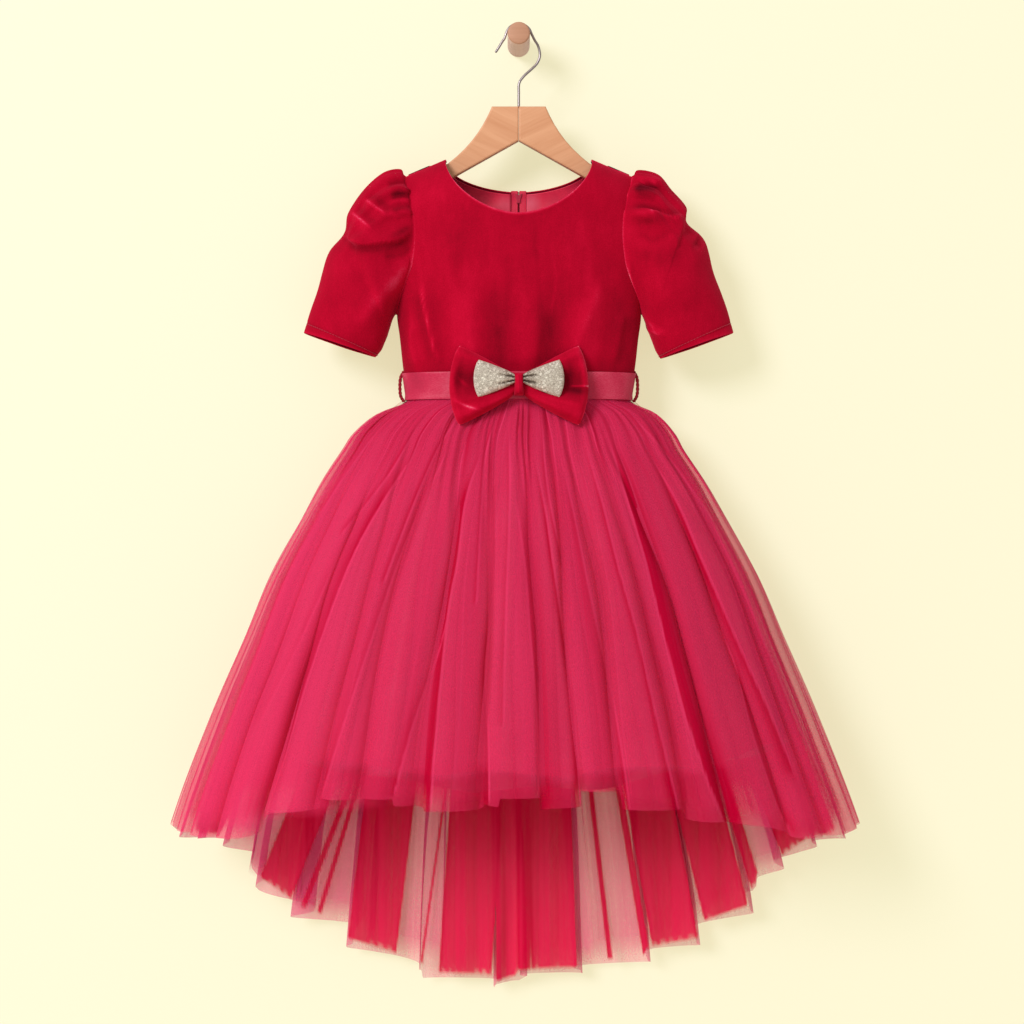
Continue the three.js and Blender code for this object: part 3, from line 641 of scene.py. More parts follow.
def painted_light_at(x, z, streaks):
    """Painted light: pale lines are painted highlights and dark bands painted shade. A streak is
    (path, half width, tone).
    """
    tone = np.zeros(x.shape)
    broken = 0.85 + 0.3 * wander(x / 5, z / 7, 61)
    for path, width, deep in streaks:
        gap, share = along(x, z, path)
        tone += deep * faded(share, 0.04, 1.6) * bump(gap, 0, width) * broken
    return tone


# Bodice

shoulder_slope = (NECK_Z - TIP_Z) / (TIP_X - NECK_HALF)


def shoulder_z(x):
    return NECK_Z - shoulder_slope * np.maximum(np.abs(x) - NECK_HALF, 0)


def bodice_depth(x, z):
    """How far the cloth stands in front of, or behind, the plane of the hanger."""
    across = np.clip(np.abs(x) / form_width(z), 0, 1) ** FLATNESS
    above = 1 - np.clip((shoulder_z(x) - z) / SHOULDER_ROUND, 0, 1)
    return SEAM / 2 + form_depth(z) * np.sqrt(1 - across) * np.sqrt(1 - above * above)


def half_columns(neck_drop, inner_x, neck_steps=48, shoulder_steps=26):
    """(share of the width, top) of the columns of half a panel, from the centre out."""
    x = np.maximum(NECK_HALF * np.sin(np.linspace(0, math.pi / 2, neck_steps + 1)), inner_x)
    dip = np.clip(1 - (x / NECK_HALF) ** SCOOP, 0, 1) ** (1 / SCOOP)
    top = NECK_Z - neck_drop * dip
    share = x / side_x(top)
    turn = np.linspace(math.asin(share[-1]), math.pi / 2, shoulder_steps + 1)[1:]
    shoulder = np.sin(turn)
    return np.append(share, shoulder), np.append(top, shoulder_z(shoulder * TIP_X))


def bodice_grid(facing, share, top, inner_x=0.0, count=104):
    row = 1 - (1 - np.linspace(0, 1, count)[:, None]) ** 1.7
    z = WAIST_Z + (top - WAIST_Z) * row
    x = np.sign(share) * np.maximum(np.abs(share) * side_x(z), inner_x)
    return xyz(x, HANG_Y + facing * bodice_depth(x, z), z)


def velvet_wall(base, normal, lift):
    """Outer and inner side of velvet that stands out from a grid by lift."""
    inside = np.minimum(lift, 0) - VELVET
    return base + normal * lift[..., None], base + normal * inside[..., None]


def keep_side(facing, inner_x, *grids):
    """Keeps cloth on its own side of the side seams' plane, and of the opening at the centre."""
    limit = np.maximum if facing > 0 else np.minimum
    for grid in grids:
        grid[..., 1] = limit(grid[..., 1], HANG_Y + facing * SEAM / 2)
        if inner_x:
            sign = np.sign(inner_x)
            grid[..., 0] = sign * np.maximum(sign * grid[..., 0], abs(inner_x))


def neck_edge(top):
    """1 along the neckline, 0 along the shoulder."""
    return np.where(top > NECK_Z - 0.5, 0.0, 1.0)


# Folds of the front as folds_at reads them: crest tones are painted highlights where positive and
# painted shade where negative, hollow tones are painted shade.
BODICE_FOLDS = [
    ([(-102, -262), (-97, -288), (-91, -316), (-84, -345)], 2.0, 7, 3, 0.45, -0.35),
    ([(-112, -300), (-110, -330), (-104, -350)], 1.2, 5, 4, 0.25, -0.15),
    ([(-52, -300), (-50, -325), (-48, -352)], 1.0, 9, 9, 0.12, 0),
    ([(-24, -230), (-16, -262), (-10, -300)], 0.9, 10, 7, 0.04, -0.1),
    ([(-14, -300), (-11, -328), (-9, -352)], 1.5, 10, 4, 0.05, -0.3),
    ([(14, -352), (19, -320), (24, -285)], 1.5, 9, 5, 0.05, -0.25),
    ([(52, -345), (62, -316), (76, -285), (84, -255)], 1.7, 10, 11, 0.22, -0.1),
    ([(98, -345), (103, -318), (108, -290)], 1.9, 6, 5, 0.1, -0.3),
    ([(-66, -210), (-76, -250), (-80, -290)], 0.8, 12, 12, 0.06, 0),
    ([(40, -205), (54, -240), (58, -280)], 0.7, 12, 9, 0.03, -0.06),
]


# Painted highlights (pale lines) and painted shade (dark bands) on the front: path, half width,
# tone.
BODICE_PAINTED_LIGHT = [
    ([(-104, -240), (-97, -285), (-90, -318), (-84, -342)], 1.6, 0.8),
    ([(-112, -285), (-109, -310)], 1.2, 0.5),
    ([(-8, -240), (-12, -290), (-14, -338)], 4.0, -0.35),
    ([(14, -200), (20, -260), (22, -318)], 3.0, -0.4),
    ([(100, -262), (103, -290), (98, -322)], 6.0, -0.5),
    ([(78, -262), (82, -300), (78, -340)], 9.0, 0.45),
    ([(34, -228), (38, -262), (32, -300)], 1.2, 0.5),
    ([(-60, -200), (-64, -240), (-58, -276)], 7.0, -0.4),
    ([(62, -190), (70, -240), (66, -280)], 9.0, 0.3),
    ([(-30, -175), (-34, -230), (-26, -280)], 9.0, 0.3),
    ([(8, -180), (10, -230), (4, -290)], 9.0, -0.35),
]


def bodice_drape(x, z, seed):
    """Soft folds of the worn cloth between the yoke and the belt."""
    low = ease(z, -230, -300) * ease(z, -374, -335)
    wave = 0.9 * np.sin(x / 9.5 + 0.8 * np.sin(z / 60 + seed) + seed) * low
    return wave + 0.5 * wander(x / 22, z / 45, 11 + seed) * ease(z, -140, -180)


def add_bodice():
    share, top = half_columns(FRONT_DROP, 0)
    share = np.append(-share[:0:-1], share)
    top = np.append(top[:0:-1], top)
    base = bodice_grid(-1, share, top)
    x, z = base[..., 0], base[..., 2]
    height, tone = folds_at(x, z, BODICE_FOLDS)
    calm = ease(z, -372, -340) * 0.9 + 0.1
    edge = np.clip((top - z) / 6, 0, 1) * np.clip((TIP_X * 1.2 - np.abs(x)) / 14, 0, 1)
    lift = (1.7 * height * calm + 1.6 * bodice_drape(x, z, 0)) * edge
    outer, inner = velvet_wall(base, normals(base), lift)
    keep_side(-1, 0, outer, inner)
    neck = neck_edge(top)
    # The tone is painted light: highlights on the fold crests and along the neckline's edge,
    # painted shade in the hollows, painted light and shade along the drape and the streaks, and
    # painted shade at the sides under the sleeves and just above the belt.
    tone = tone * 0.8 + 0.7 * bump(z, top, 1.6) * neck
    tone += 0.22 * bodice_drape(x, z, 0.4) + 0.5 * painted_light_at(x, z, BODICE_PAINTED_LIGHT)
    tone -= 0.45 * ease(np.abs(x), 96, 128) * ease(z, -225, -290) + 0.2 * ease(z, -335, -352)
    mesh = shell_mesh("front_velvet", outer, inner, tone, rim=(0.3, neck))
    arms = ("hanger_arm_left", "hanger_arm_right")
    add_cloth(mesh, [velvet, velvet_inside_shaded], "velvet", "bodice_front", "hung", *arms)

    share, top = half_columns(BACK_DROP, BACK_EDGE_X)
    base = bodice_grid(1, share[::-1], top[::-1], BACK_EDGE_X)
    for name, sign in SIDES:
        (grid,) = mirrored(sign, base)
        x, z = grid[..., 0], grid[..., 2]
        tops = top[::-sign]
        fade = np.clip((tops - z) / 6, 0, 1) * ease(np.abs(x), 3, 22)
        lift = bodice_drape(x, z, 3 + sign) * fade - 0.5 * bump(np.abs(x), ZIP_SEAM_X, 0.9)
        outer, inner = velvet_wall(grid, normals(grid), lift)
        keep_side(1, sign * BACK_EDGE_X, outer, inner)
        neck = neck_edge(tops)
        # Painted highlight along the neckline's edge, and a paler strip beside the opening of the
        # back.
        tone = 0.4 * bump(z, tops, 1.6) * neck + 0.2 * bump(np.abs(x), 7, 4)
        mesh = shell_mesh("back_velvet_" + name, outer, inner, tone, rim=(0.3, neck))
        finishes, arm = [velvet, velvet_inside_shaded], "hanger_arm_" + name
        add_cloth(mesh, finishes, "velvet", "bodice_back_" + name, "hung", arm)


def add_lining():
    share, top = half_columns(BACK_DROP, LINING_EDGE_X, 44, 18)
    top = top - np.where((top < NECK_Z - 8) & (share < 0.6), 2.0, 10.0)
    base = bodice_grid(1, share[::-1], top[::-1], LINING_EDGE_X, 64)
    out = normals(base)
    x, z = base[..., 0], base[..., 2]
    crease = 0.45 * wander(x / 9, z / 14, 5) + 0.3 * np.sin((z + 0.6 * x) / 5.5)
    thick = SATIN + np.maximum(crease, -0.3) * ease(x, 9, 18)
    face = base - out * (VELVET + LINING_GAP)
    back = base - out * (VELVET + LINING_GAP + thick)[..., None]
    keep_side(1, LINING_EDGE_X, face, back)
    for name, sign in SIDES:
        shade = -0.9 * ease(z, -175, -130) * ease(x, 30, 70)
        shade = shade + 0.5 * crease - 0.3 * (sign < 0) * ease(x, 20, 60)
        walls = mirrored(sign, face, back, shade)
        mesh = shell_mesh("back_lining_satin_" + name, *walls, rim=(0.3, 1.0))
        node, velvet_back = "back_lining_" + name, "back_velvet_" + name
        add_cloth(mesh, [lining, lining], "satin", node, "hung", velvet_back)


# Sleeves

CAP_SPREAD = math.radians(84)  # how far the gathers reach to either side of the sleeve's top
CAP_GATHERS = 16
SLEEVE_COLUMNS, CAP_ROWS, ARM_ROWS, CAP_END = 160, 56, 64, 4
CUFF_STITCHES, CUFF_STITCH_RADIUS = 74, 0.32
# Folds of the sleeves as folds_at reads them: crest tones are painted highlights where positive and
# painted shade where negative, hollow tones are painted shade.
LEFT_SLEEVE_FOLDS = [
    ([(118, -158.5), (131, -156.5), (141, -156), (151, -158)], 2.2, 5, 1.6, 0.45, -0.75),
    ([(117, -166.8), (131, -168), (143, -170)], 1.6, 1.6, 5, 0.35, -0.5),
    ([(115, -186.5), (131, -188), (144, -191.7), (159, -193.8), (173, -191)],
     3.2, 2.2, 12, 0.4, -0.5),
    ([(124, -208), (136, -217), (149, -213), (163, -204)], -1.8, 9, 7, -0.2, 0),
    ([(184, -216), (193, -222)], -2.0, 8, 7, -0.25, 0),
    ([(110, -236), (116, -258), (126, -280), (140, -306), (150, -322)], 1.3, 3, 8, 0.3, 0),
    ([(134, -306), (142, -311), (149, -315)], 1.0, 2.5, 3, 0.35, 0),
    ([(150, -240), (168, -262), (180, -290)], 1.0, 14, 14, 0.05, 0),
]
RIGHT_SLEEVE_FOLDS = [
    ([(112, -166), (124, -163), (136, -166)], 1.8, 3, 3, 0.2, -0.5),
    ([(110, -176), (122, -175), (133, -178)], 1.6, 2.5, 2.5, 0.15, -0.6),
    ([(110, -188), (120, -189), (130, -193)], 1.6, 2.5, 2.5, 0.15, -0.5),
    ([(161, -173), (150, -182), (136, -193)], 1.8, 4, 3, 0.5, -0.35),
    ([(175, -186), (164, -196), (151, -208)], 2.0, 4, 3, 0.5, -0.4),
    ([(183, -209), (168, -219.8), (158.6, -222.9), (146, -220.8), (125, -216.7), (110, -205)],
     3.6, 2.2, 11, 0.35, -0.4),
    ([(108, -230), (125, -252), (148, -280), (174, -308)], 1.8, 14, 14, 0.25, 0),
    ([(108, -222), (122, -232), (140, -236)], -1.5, 7, 7, -0.3, 0),
]


# Painted highlights (pale lines) and painted shade (dark bands) on the front of the left sleeve:
# path, half width, tone.
LEFT_SLEEVE_PAINTED_LIGHT = [
    ([(117, -168), (139, -170), (153, -162)], 3.0, -1.0),
    ([(112, -190), (135, -189.5), (158, -189)], 1.3, 1.2),
    ([(112, -196), (142, -198), (166, -199)], 4.0, -0.8),
    ([(120, -228), (150, -236), (170, -226)], 9.0, -0.7),
    ([(118, -150), (136, -151), (150, -156)], 3.0, 0.6),
    ([(112, -226), (118, -262), (128, -292), (140, -330)], 1.3, 0.7),
    ([(135, -300), (144, -308), (152, -314)], 2.0, 0.9),
]
# Painted highlights (pale lines) and painted shade (dark bands) on the front of the right sleeve:
# path, half width, tone.
RIGHT_SLEEVE_PAINTED_LIGHT = [
    ([(160, -175), (148, -181), (137, -190)], 4.5, 0.8),
    ([(178, -184), (165, -194), (151, -206)], 7.0, 0.75),
    ([(133, -161), (118, -157)], 2.2, 0.8),
    ([(136, -178), (114, -174)], 2.0, 0.8),
    ([(138, -192), (112, -185)], 2.2, 0.9),
    ([(132, -169), (116, -166)], 2.6, -1.0),
    ([(134, -216), (110, -201)], 3.0, -1.0),
    ([(176, -216), (153, -229), (133, -228), (112, -216)], 5.0, -0.45),
    ([(112, -240), (138, -268), (172, -298)], 8.0, 0.55),
    ([(112, -262), (118, -292), (128, -322)], 5.0, -0.5),
]


def ring_grid(table, angle, row, lift):
    """Points of the sleeve's rings at angles from their top and places along the table, and how far
    they follow the armhole."""
    columns = [curve(*enumerate(column))(row) for column in zip(*table)]
    top_x, top_z, low_x, low_z, depth, gather, hole = columns
    lobe = np.cos(angle)
    reach = np.abs(np.arctan2(np.sin(angle), lobe))
    window = np.clip((CAP_SPREAD - reach) * 3, 0, 1)
    wave = np.cos(CAP_GATHERS * angle) + 0.35 * np.cos(37 * angle + 1)
    gather = np.maximum(gather, 0) * wave * window + lift
    half_x, half_z = (top_x - low_x) / 2, (top_z - low_z) / 2
    long = np.hypot(half_x, half_z)
    grow = (long + gather) / long
    x = (top_x + low_x) / 2 + half_x * grow * lobe
    z = (top_z + low_z) / 2 + half_z * grow * lobe
    return xyz(x, HANG_Y - (depth + gather) * np.sin(angle), z), np.clip(hole, 0, 1)


def armhole(angle):
    middle, reach = (TIP_Z + UNDERARM_Z) / 2, (TIP_Z - UNDERARM_Z) / 2
    z = middle + reach * np.cos(angle)
    depth = bodice_depth(side_x(z), z) * np.sign(np.sin(angle))
    return xyz(side_x(z) + SLEEVE_GAP, HANG_Y - depth, z)


def sleeve_grid(table, angle, row, lift=0.0):
    ring, hole = ring_grid(table, angle, row, lift)
    first, _ = ring_grid(table, angle, row * 0, 0.0)
    tucked = 2.6 * ease(row, 0.35, 0.0)[..., None] * np.array([1.0, 0, 0])
    return ring + (armhole(angle) - first) * hole[..., None] - tucked


def add_sleeve(name, table, folds, streaks, sign):
    angle = np.linspace(0, 2 * math.pi, SLEEVE_COLUMNS, endpoint=False)
    cap = np.linspace(0, CAP_END, CAP_ROWS, endpoint=False)
    row = np.append(cap, np.linspace(CAP_END, HEM_ROW, ARM_ROWS))
    angle, row = np.broadcast_arrays(angle[None, :], row[:, None])
    base = sleeve_grid(table, angle, row)
    x, z = base[..., 0], base[..., 2]
    front, behind = ease(np.sin(angle), -0.05, 0.3), ease(-np.sin(angle), -0.05, 0.3)
    height, tone = folds_at(x, z, folds)
    back_height, back_tone = folds_at(x * 1.02, z - 4, folds)
    lift = 1.5 * height * front + 0.9 * back_height * behind
    lift = lift + 0.5 * wander(x / 12, z / 14, 21) * ease(row, 1, 4)
    lift = (lift - 0.5 * bump(row, STITCH_ROW, 0.035)) * ease(row, 0, 0.6)
    normal = normals(base, True)
    if np.sum(normal * (base - base.mean(axis=1, keepdims=True))) < 0:
        normal = -normal
    outer, inner = velvet_wall(base, normal, lift)
    # The tone is painted light: highlights on fold crests, near the armhole and along the hem's
    # edge, painted shade in the hollows and the stitch groove, and the painted streaks on the
    # front, with a little random tone.
    tone = (tone * front + 0.5 * back_tone * behind) * 1.1 + 0.6 * bump(row, 0.12, 0.1) * front
    tone = tone + 0.35 * bump(row, HEM_ROW, 0.05) - 0.2 * bump(row, STITCH_ROW, 0.05)
    tone = tone + 0.07 * wander(x / 12, z / 17, 77) * ease(row, 0.3, 2)
    tone = tone + 0.42 * painted_light_at(x, z, streaks) * front
    outer[..., 0] *= sign
    inner[..., 0] *= sign
    mesh = shell_mesh(name + "_velvet", outer, inner, tone, loop=True, rim=(0.0, 1.0))
    add_cloth(mesh, [velvet, velvet_inside_shaded], "velvet", name, "hung", "front_velvet")


def add_cuff_stitches(name, table, sign):
    """Stitches round the sleeve hem, one mesh."""
    dashes = []
    for turn in np.linspace(0, 2 * math.pi, CUFF_STITCHES, endpoint=False):
        angle = np.array([[turn, turn + 0.02, turn + 0.034, turn + 0.054]])
        path = sleeve_grid(table, angle, np.full(angle.shape, STITCH_ROW), 0.15)[0]
        path[:, 0] *= sign
        path[1:3] += (path[1:3] - path.mean(axis=0)) * 0.1
        dashes.append(tube_mesh("dash", path, CUFF_STITCH_RADIUS, 6))
    add_piece(joined(name + "_hem_stitches", dashes), [thread], "velvet")


# Skirt


def even_turn(turn):
    """Folds lie evenly along the cloth, which is flatter at the front than at the sides."""
    return turn - 0.2 * np.sin(2 * turn)


def off_front(turn):
    """Degrees away from the front centre."""
    return np.degrees(np.abs(even_turn(turn)))


def skirt_grid(turn, z, lift, slide=0.0):
    """Points of the skirt at turns from the front centre, moved out by lift and along by slide."""
    angle = even_turn(turn)
    behind = np.cos(angle) < 0
    width = skirt_width(z)
    depth = np.abs(np.where(behind, skirt_back(z), skirt_front(z)) - skirt_middle(z))
    boxy = np.where(behind, skirt_boxy(z), np.minimum(skirt_boxy(z), FLATNESS))
    swell = np.sqrt(np.maximum(1 - np.abs(np.sin(angle)) ** boxy, 0))
    across, out = depth * np.sin(angle), -width * np.cos(angle)
    size = np.hypot(across, out)
    across, out = across / size, out / size
    x = skirt_lean(z) + width * np.sin(angle)
    y = skirt_middle(z) + np.where(behind, 1, -1) * (depth * swell + SEAM / 2)
    return xyz(x + across * lift - out * slide, y + out * lift + across * slide, z)


def valley_phase(angle, valleys):
    """Phase of folds whose hollows lie at these angles from the centre, in degrees."""
    at = np.array(valleys, float)
    first, last = at[1] - at[0], at[-1] - at[-2]
    at = np.concatenate([[at[0] - first], at, [at[-1] + last]])
    smooth = curve(*zip(at, np.arange(len(at))))
    return 2 * math.pi * smooth(np.degrees(angle)) + math.pi


# Hollows between the folds, in degrees from the front centre, or on the back from the centre back,
# where they are positive towards the wearer's left.
FRONT_VALLEYS = (
    -86, -77, -68, -57.5, -46.4, -34.6, -26.8, -16.3, -5.5, 4.8, 11.4, 18.3, 29.3, 37, 50.8, 61, 71,
    80, 88,
)
MIDDLE_VALLEYS = (-88, -74, -63, -52, -40, -31, -22, -11, 0, 8, 15, 24, 33, 44, 56, 66, 76, 87)
BACK_VALLEYS = (
    -88, -76, -66, -57, -47, -36.5, -27.5, -15.5, -3.5, 1, 9.5, 20.5, 29.5, 40.5, 49, 60, 73, 86,
)
BACK_MIDDLE_VALLEYS = (-86, -70, -58, -50, -38, -24, -12, 0, 12, 26, 37, 50, 62, 75, 88)
# Hem of the back panel: x, z, with a short rise where one fold lies over the next.
back_hem = line(
    (-372, -814), (-365, -815.5), (-323, -838.5), (-286, -860), (-282, -884), (-233, -921),
    (-232, -923), (-186, -941), (-183, -957), (-106, -982), (-104, -984), (-91, -986), (-89, -995),
    (-25, -997), (-23, -1003.5), (-3, -998.5), (1, -992), (62, -989), (64, -985), (135, -976),
    (138, -968), (192, -957), (195, -941), (244, -922), (247, -906), (256, -901), (259, -887),
    (300, -858.5), (351, -823), (362, -820),
)


def panel_turns(behind, count):
    """Turns of the columns of half the skirt from the front centre, between -pi and pi."""
    turn = (math.pi if behind else 0) + np.linspace(-math.pi / 2, math.pi / 2, count)[None, :]
    return np.where(turn > math.pi, turn - 2 * math.pi, turn)


def panel_rows(hem, count, close=1.35):
    """Heights of a panel's rows. They crowd towards the belt, or the hem where close is below 1."""
    share = np.linspace(0, 1, count)[::-1, None] ** close
    return SKIRT_TOP + (hem - SKIRT_TOP) * share


WAIST_GATHERS = 74
NET_LEAST_STEP = 1e-6
WIDEST_FOLD = 60


def tulle_panel(behind, hem_z, turn, rows, valleys, seed, high, deep, over):
    """One gathered layer of net between its side seams: fine gathers at the waist, broad folds with
    overhanging sides below. Returns its grid, turns, heights and the phase of its folds."""
    z = panel_rows(hem_z, rows, 1.35 if over else 0.6)
    turn = np.broadcast_to(turn, z.shape)
    drift = 0.012 * np.sin(7 * turn + z / 90 + seed)
    drift = drift + 0.009 * np.sin(19 * turn - z / 50 + 2 * seed)
    drift = drift * ease(z, -390, -430) * ease(z, -980, -520)
    angle = even_turn(turn)
    if behind:
        angle = np.where(angle > 0, math.pi - angle, -math.pi - angle)
    near_seam = np.abs(np.sin(angle)) ** 6
    phase = valley_phase(angle + drift, valleys)
    valley = (0.5 * (1 - np.cos(phase))) ** 1.5
    height = (0.85 + 0.3 * wander(turn * 5, z / 130, seed + 30)) * (1 - 0.85 * near_seam)
    if behind:
        height = height * 0.62
    fold = fold_height(z) * high * (0.25 + 0.75 * ease(z, -395, -560))
    strong = ease(z, -384, -402)
    pinch = 0.3 + 1.9 * strong * (0.3 + 0.7 * ease(z, -560, -410))
    tight = WAIST_GATHERS * (turn + 0.03 * np.sin(7 * turn + seed))
    tight = tight + 2.2 * np.sin(19 * turn + z / 55)
    gathers = pinch * np.cos(tight) * (0.75 + 0.6 * wander(turn * 12, z / 60, seed + 8))
    second = np.cos(0.43 * tight + 2 + z / 140 + 1.5 * np.sin(z / 90 + 5 * turn)) * strong
    second = second * (0.5 + 0.5 * wander(turn * 8, z / 90, seed + 90)) * 1.3
    gathers = (gathers * 0.75 * ease(z, -600, -440) + second) * np.where(z > -384, 0.4, 1)
    spacing = np.gradient(skirt_width(z) * angle, axis=1)
    pace = np.maximum(np.abs(np.gradient(phase, axis=1)), NET_LEAST_STEP)
    per_fold = np.minimum(np.abs(spacing / pace) * 2 * math.pi, WIDEST_FOLD)
    reach = over * (0.35 + 0.5 * wander(turn * 4, z / 300, seed + 50)) * ease(z, -430, -700)
    doubled = (1.0 + 0.95 * np.abs(wander(turn * 7, z / 400, seed + 71))) * ease(z, -400, -560)
    slide = over * doubled * per_fold / (2 * math.pi) * np.sin(phase)
    slide = slide - reach * per_fold / (4 * math.pi) * np.sin(2 * phase)
    slide = slide * (1 - 0.9 * near_seam) * (-1 if behind else 1)
    sides = np.abs(np.sin(turn))
    edge = 3 * ease(z, -460, -800) * sides**2 + 4 * ease(z, -392, -430) * sides**6
    inset = deep * (0.5 * fold_height(z) + 1.2 + edge)
    lift = fold * height * (1 - 2 * valley) + gathers - inset
    return skirt_grid(turn, z, lift, slide), turn, z, phase


def fold_tone(phase, z, seed):
    """How deep the painted shade in the hollows between folds is, and the painted highlights along
    the pale lines where folds turn over them."""
    index = np.floor(phase / (2 * math.pi))
    place = phase / (2 * math.pi) - index - 0.5

    def draw(salt):
        # A value between 0 and 1 that is fixed for each fold.
        value = np.sin(index * 12.9898 + seed * 78.233 + salt * 37.719) * 43758.5453
        return value - np.floor(value)

    way = np.where(draw(1) > 0.35, 1.0, -1.0)
    low = -430 - 380 * draw(3)
    reach = 0.35 + 0.65 * ease(z, low - 160, low + 40)
    wide = (0.1 + 0.22 * draw(4)) * (0.7 + 0.5 * ease(z, -400, -640))
    soft, sharp = bump(place, 0, wide), ease(np.abs(place), 0.05, 0.015)
    shade = np.where(place * way > 0, soft, sharp) * (0.25 + 0.75 * draw(2)) * reach
    return shade, bump(place * way, -0.075, 0.022) * (0.3 + 0.7 * draw(5)) * reach


# Creases of the outer net on the front: path in x and z, how far the painted shade reaches (to the
# wearer's left, or right if negative), how deep it is, and how pale the painted highlight is on the
# edge that the net folds over on.
CREASES = [
    ([(-69, -425), (-95, -482), (-121, -547), (-157, -656), (-196, -781)], -8, 0.5, 0.6),
    ([(-97, -425), (-132, -477), (-170, -548), (-206, -649), (-232, -739), (-249, -789)],
     -17, 0.9, 0.8),
    ([(-35, -428), (-54, -484), (-62, -547), (-72, -605), (-84, -736), (-87, -787)], -14, 1.0, 0.7),
    ([(-22, -456), (-27, -583), (-34, -655), (-31, -719), (-30, -781)], -7, 0.7, 0.7),
    ([(-7, -456), (6, -547), (11, -611), (18, -701), (20, -788)], 20, 0.55, 0.7),
    ([(12, -425), (26, -497), (33, -547), (41, -602), (53, -689), (59, -785)], -6, 0.9, 0.6),
    ([(38, -425), (56, -507), (68, -571), (89, -671), (100, -734), (108, -795)], -16, 0.45, 0.4),
    ([(63, -415), (83, -487), (97, -547), (116, -617), (134, -699), (155, -790)], -7, 0.8, 0.5),
    ([(88, -404), (108, -477), (127, -547), (159, -681), (182, -754), (199, -797)], 26, 1.0, 0.7),
    ([(125, -425), (160, -487), (185, -548), (225, -643), (249, -696), (271, -752)],
     -12, 0.85, 0.7),
    ([(183, -578), (215, -645), (232, -716), (255, -787), (269, -814)], 8, 0.6, 0.5),
    ([(187, -487), (221, -563), (249, -634), (289, -733), (306, -768)], -6, 0.35, 0.5),
    ([(-203, -487), (-238, -548), (-265, -593), (-290, -653), (-318, -725), (-339, -814)],
     -5, 0.1, 0.7),
    ([(-177, -527), (-220, -628), (-258, -707)], -10, 0.3, 0.3),
    ([(-69, -587), (-80, -635), (-103, -702), (-122, -771)], -8, 0.5, 0.6),
    ([(-98, -396), (-134, -461), (-178, -518)], -5, 0.6, 0.3),
    ([(-139, -403), (-169, -445), (-203, -497)], -5, 0.4, 0.3),
    ([(113, -393), (155, -441), (197, -502)], 5, 0.4, 0.3),
    ([(-23, -396), (-35, -442), (-39, -503), (-43, -587)], -4, 0.6, 0.4),
    ([(22, -396), (29, -479), (44, -552)], -4, 0.7, 0.4),
    ([(-11, -404), (-10, -487), (-14, -606), (-16, -703)], -5, 0.4, 0.6),
    ([(-61, -396), (-84, -435), (-110, -498), (-135, -567)], -5, 0.7, 0.4),
]


def crease_tone(x, z):
    """Painted shade beside the creases, the painted highlight along each, and the painted light of
    the lit cloth that it stands on.
    """
    shade, edge, lit = (np.zeros(x.shape) for _ in range(3))
    for path, width, deep, pale in CREASES:
        gap, share = along(x, z, path)
        gap = gap * np.sign(width)
        fade = ease(share, 0.0, 0.25)
        shaded = bump(gap, 0, abs(width) * (0.35 + 0.65 * share)) * ease(gap, -0.3, 0.8)
        shade = np.maximum(shade, deep * fade * shaded)
        edge = np.maximum(edge, pale * fade * bump(gap, -0.9, 0.95))
        lit = np.maximum(lit, pale * fade * bump(gap, 0, 16) * (gap < 0))
    return shade, edge, lit


# Hems of the two front layers between the sides: x, z, with a step where a fold lies over the next.
outer_hem = line(
    (-262, -812), (-256, -797), (-198, -790), (-197, -781), (-125, -779), (-124, -786), (-88, -787),
    (-87, -791), (-40, -789), (-31, -787), (-30, -784), (-12, -786), (-11, -778), (16, -778),
    (17, -790), (59, -786), (60, -772), (104, -772), (105, -790), (156, -790), (157, -800),
    (222, -805), (262, -813),
)
middle_hem = line(
    (-262, -804), (-198, -800), (-125, -787), (-88, -785), (-31, -781), (-12, -782), (16, -779),
    (59, -781), (60, -774), (104, -774), (105, -783), (156, -788), (222, -798), (262, -805),
)


def hem_at(turn, behind, front_table, raised):
    """Height of a net layer's hem: its own steps between the sides, the common hem at the sides."""
    base = tulle_hem(off_front(turn))
    x = skirt_width(base) * np.sin(even_turn(turn))
    if behind:
        side = ease(np.abs(turn), 2.0, 1.75)
        return back_hem(x) * (1 - side) + base * side + raised
    x = x + skirt_lean(base)
    side = ease(np.abs(x), 240, 285)
    return front_table(x) * (1 - side) + (base + raised) * side


def underskirt_hem(turn):
    return satin_hem(off_front(turn)) + 3.2 * np.cos(LINING_FOLDS * 0.5 * turn + 1)


# Dense columns of the inner net seen below the front hem: x at the top, x at the hem, half width.
COLUMNS = [
    (-316, -406, 24.5), (-214, -294, 20.7), (-179, -256, 3.2), (-171, -231, 2.6),
    (-135, -159, 26.5), (-77, -105, 1.3), (-44, -57, 28), (-11, -11, 13), (5, 6, 7), (31, 38, 24),
    (76, 99, 2.6), (106, 139, 3.7), (136, 172, 25), (186, 236, 25), (219, 279, 6), (281, 361, 32),
]


def columns_at(x, z):
    """Cover of the inner net, from 0 in a pale gap to 1 in a dense column, and the columns' edges,
    where the net is turned under."""
    down = np.clip((-z - 790) / 200, -0.6, 1.1)
    cover, edge = np.zeros(x.shape), np.zeros(x.shape)
    for top_x, hem_x, half in COLUMNS:
        gap = np.abs(x - (top_x + (hem_x - top_x) * down))
        cover = np.maximum(cover, ease(half - gap, -0.8, 0.8))
        edge = np.maximum(edge, bump(gap, half - 1.2, 1.3))
    return np.maximum(cover, ease(z, -800, -778)), edge


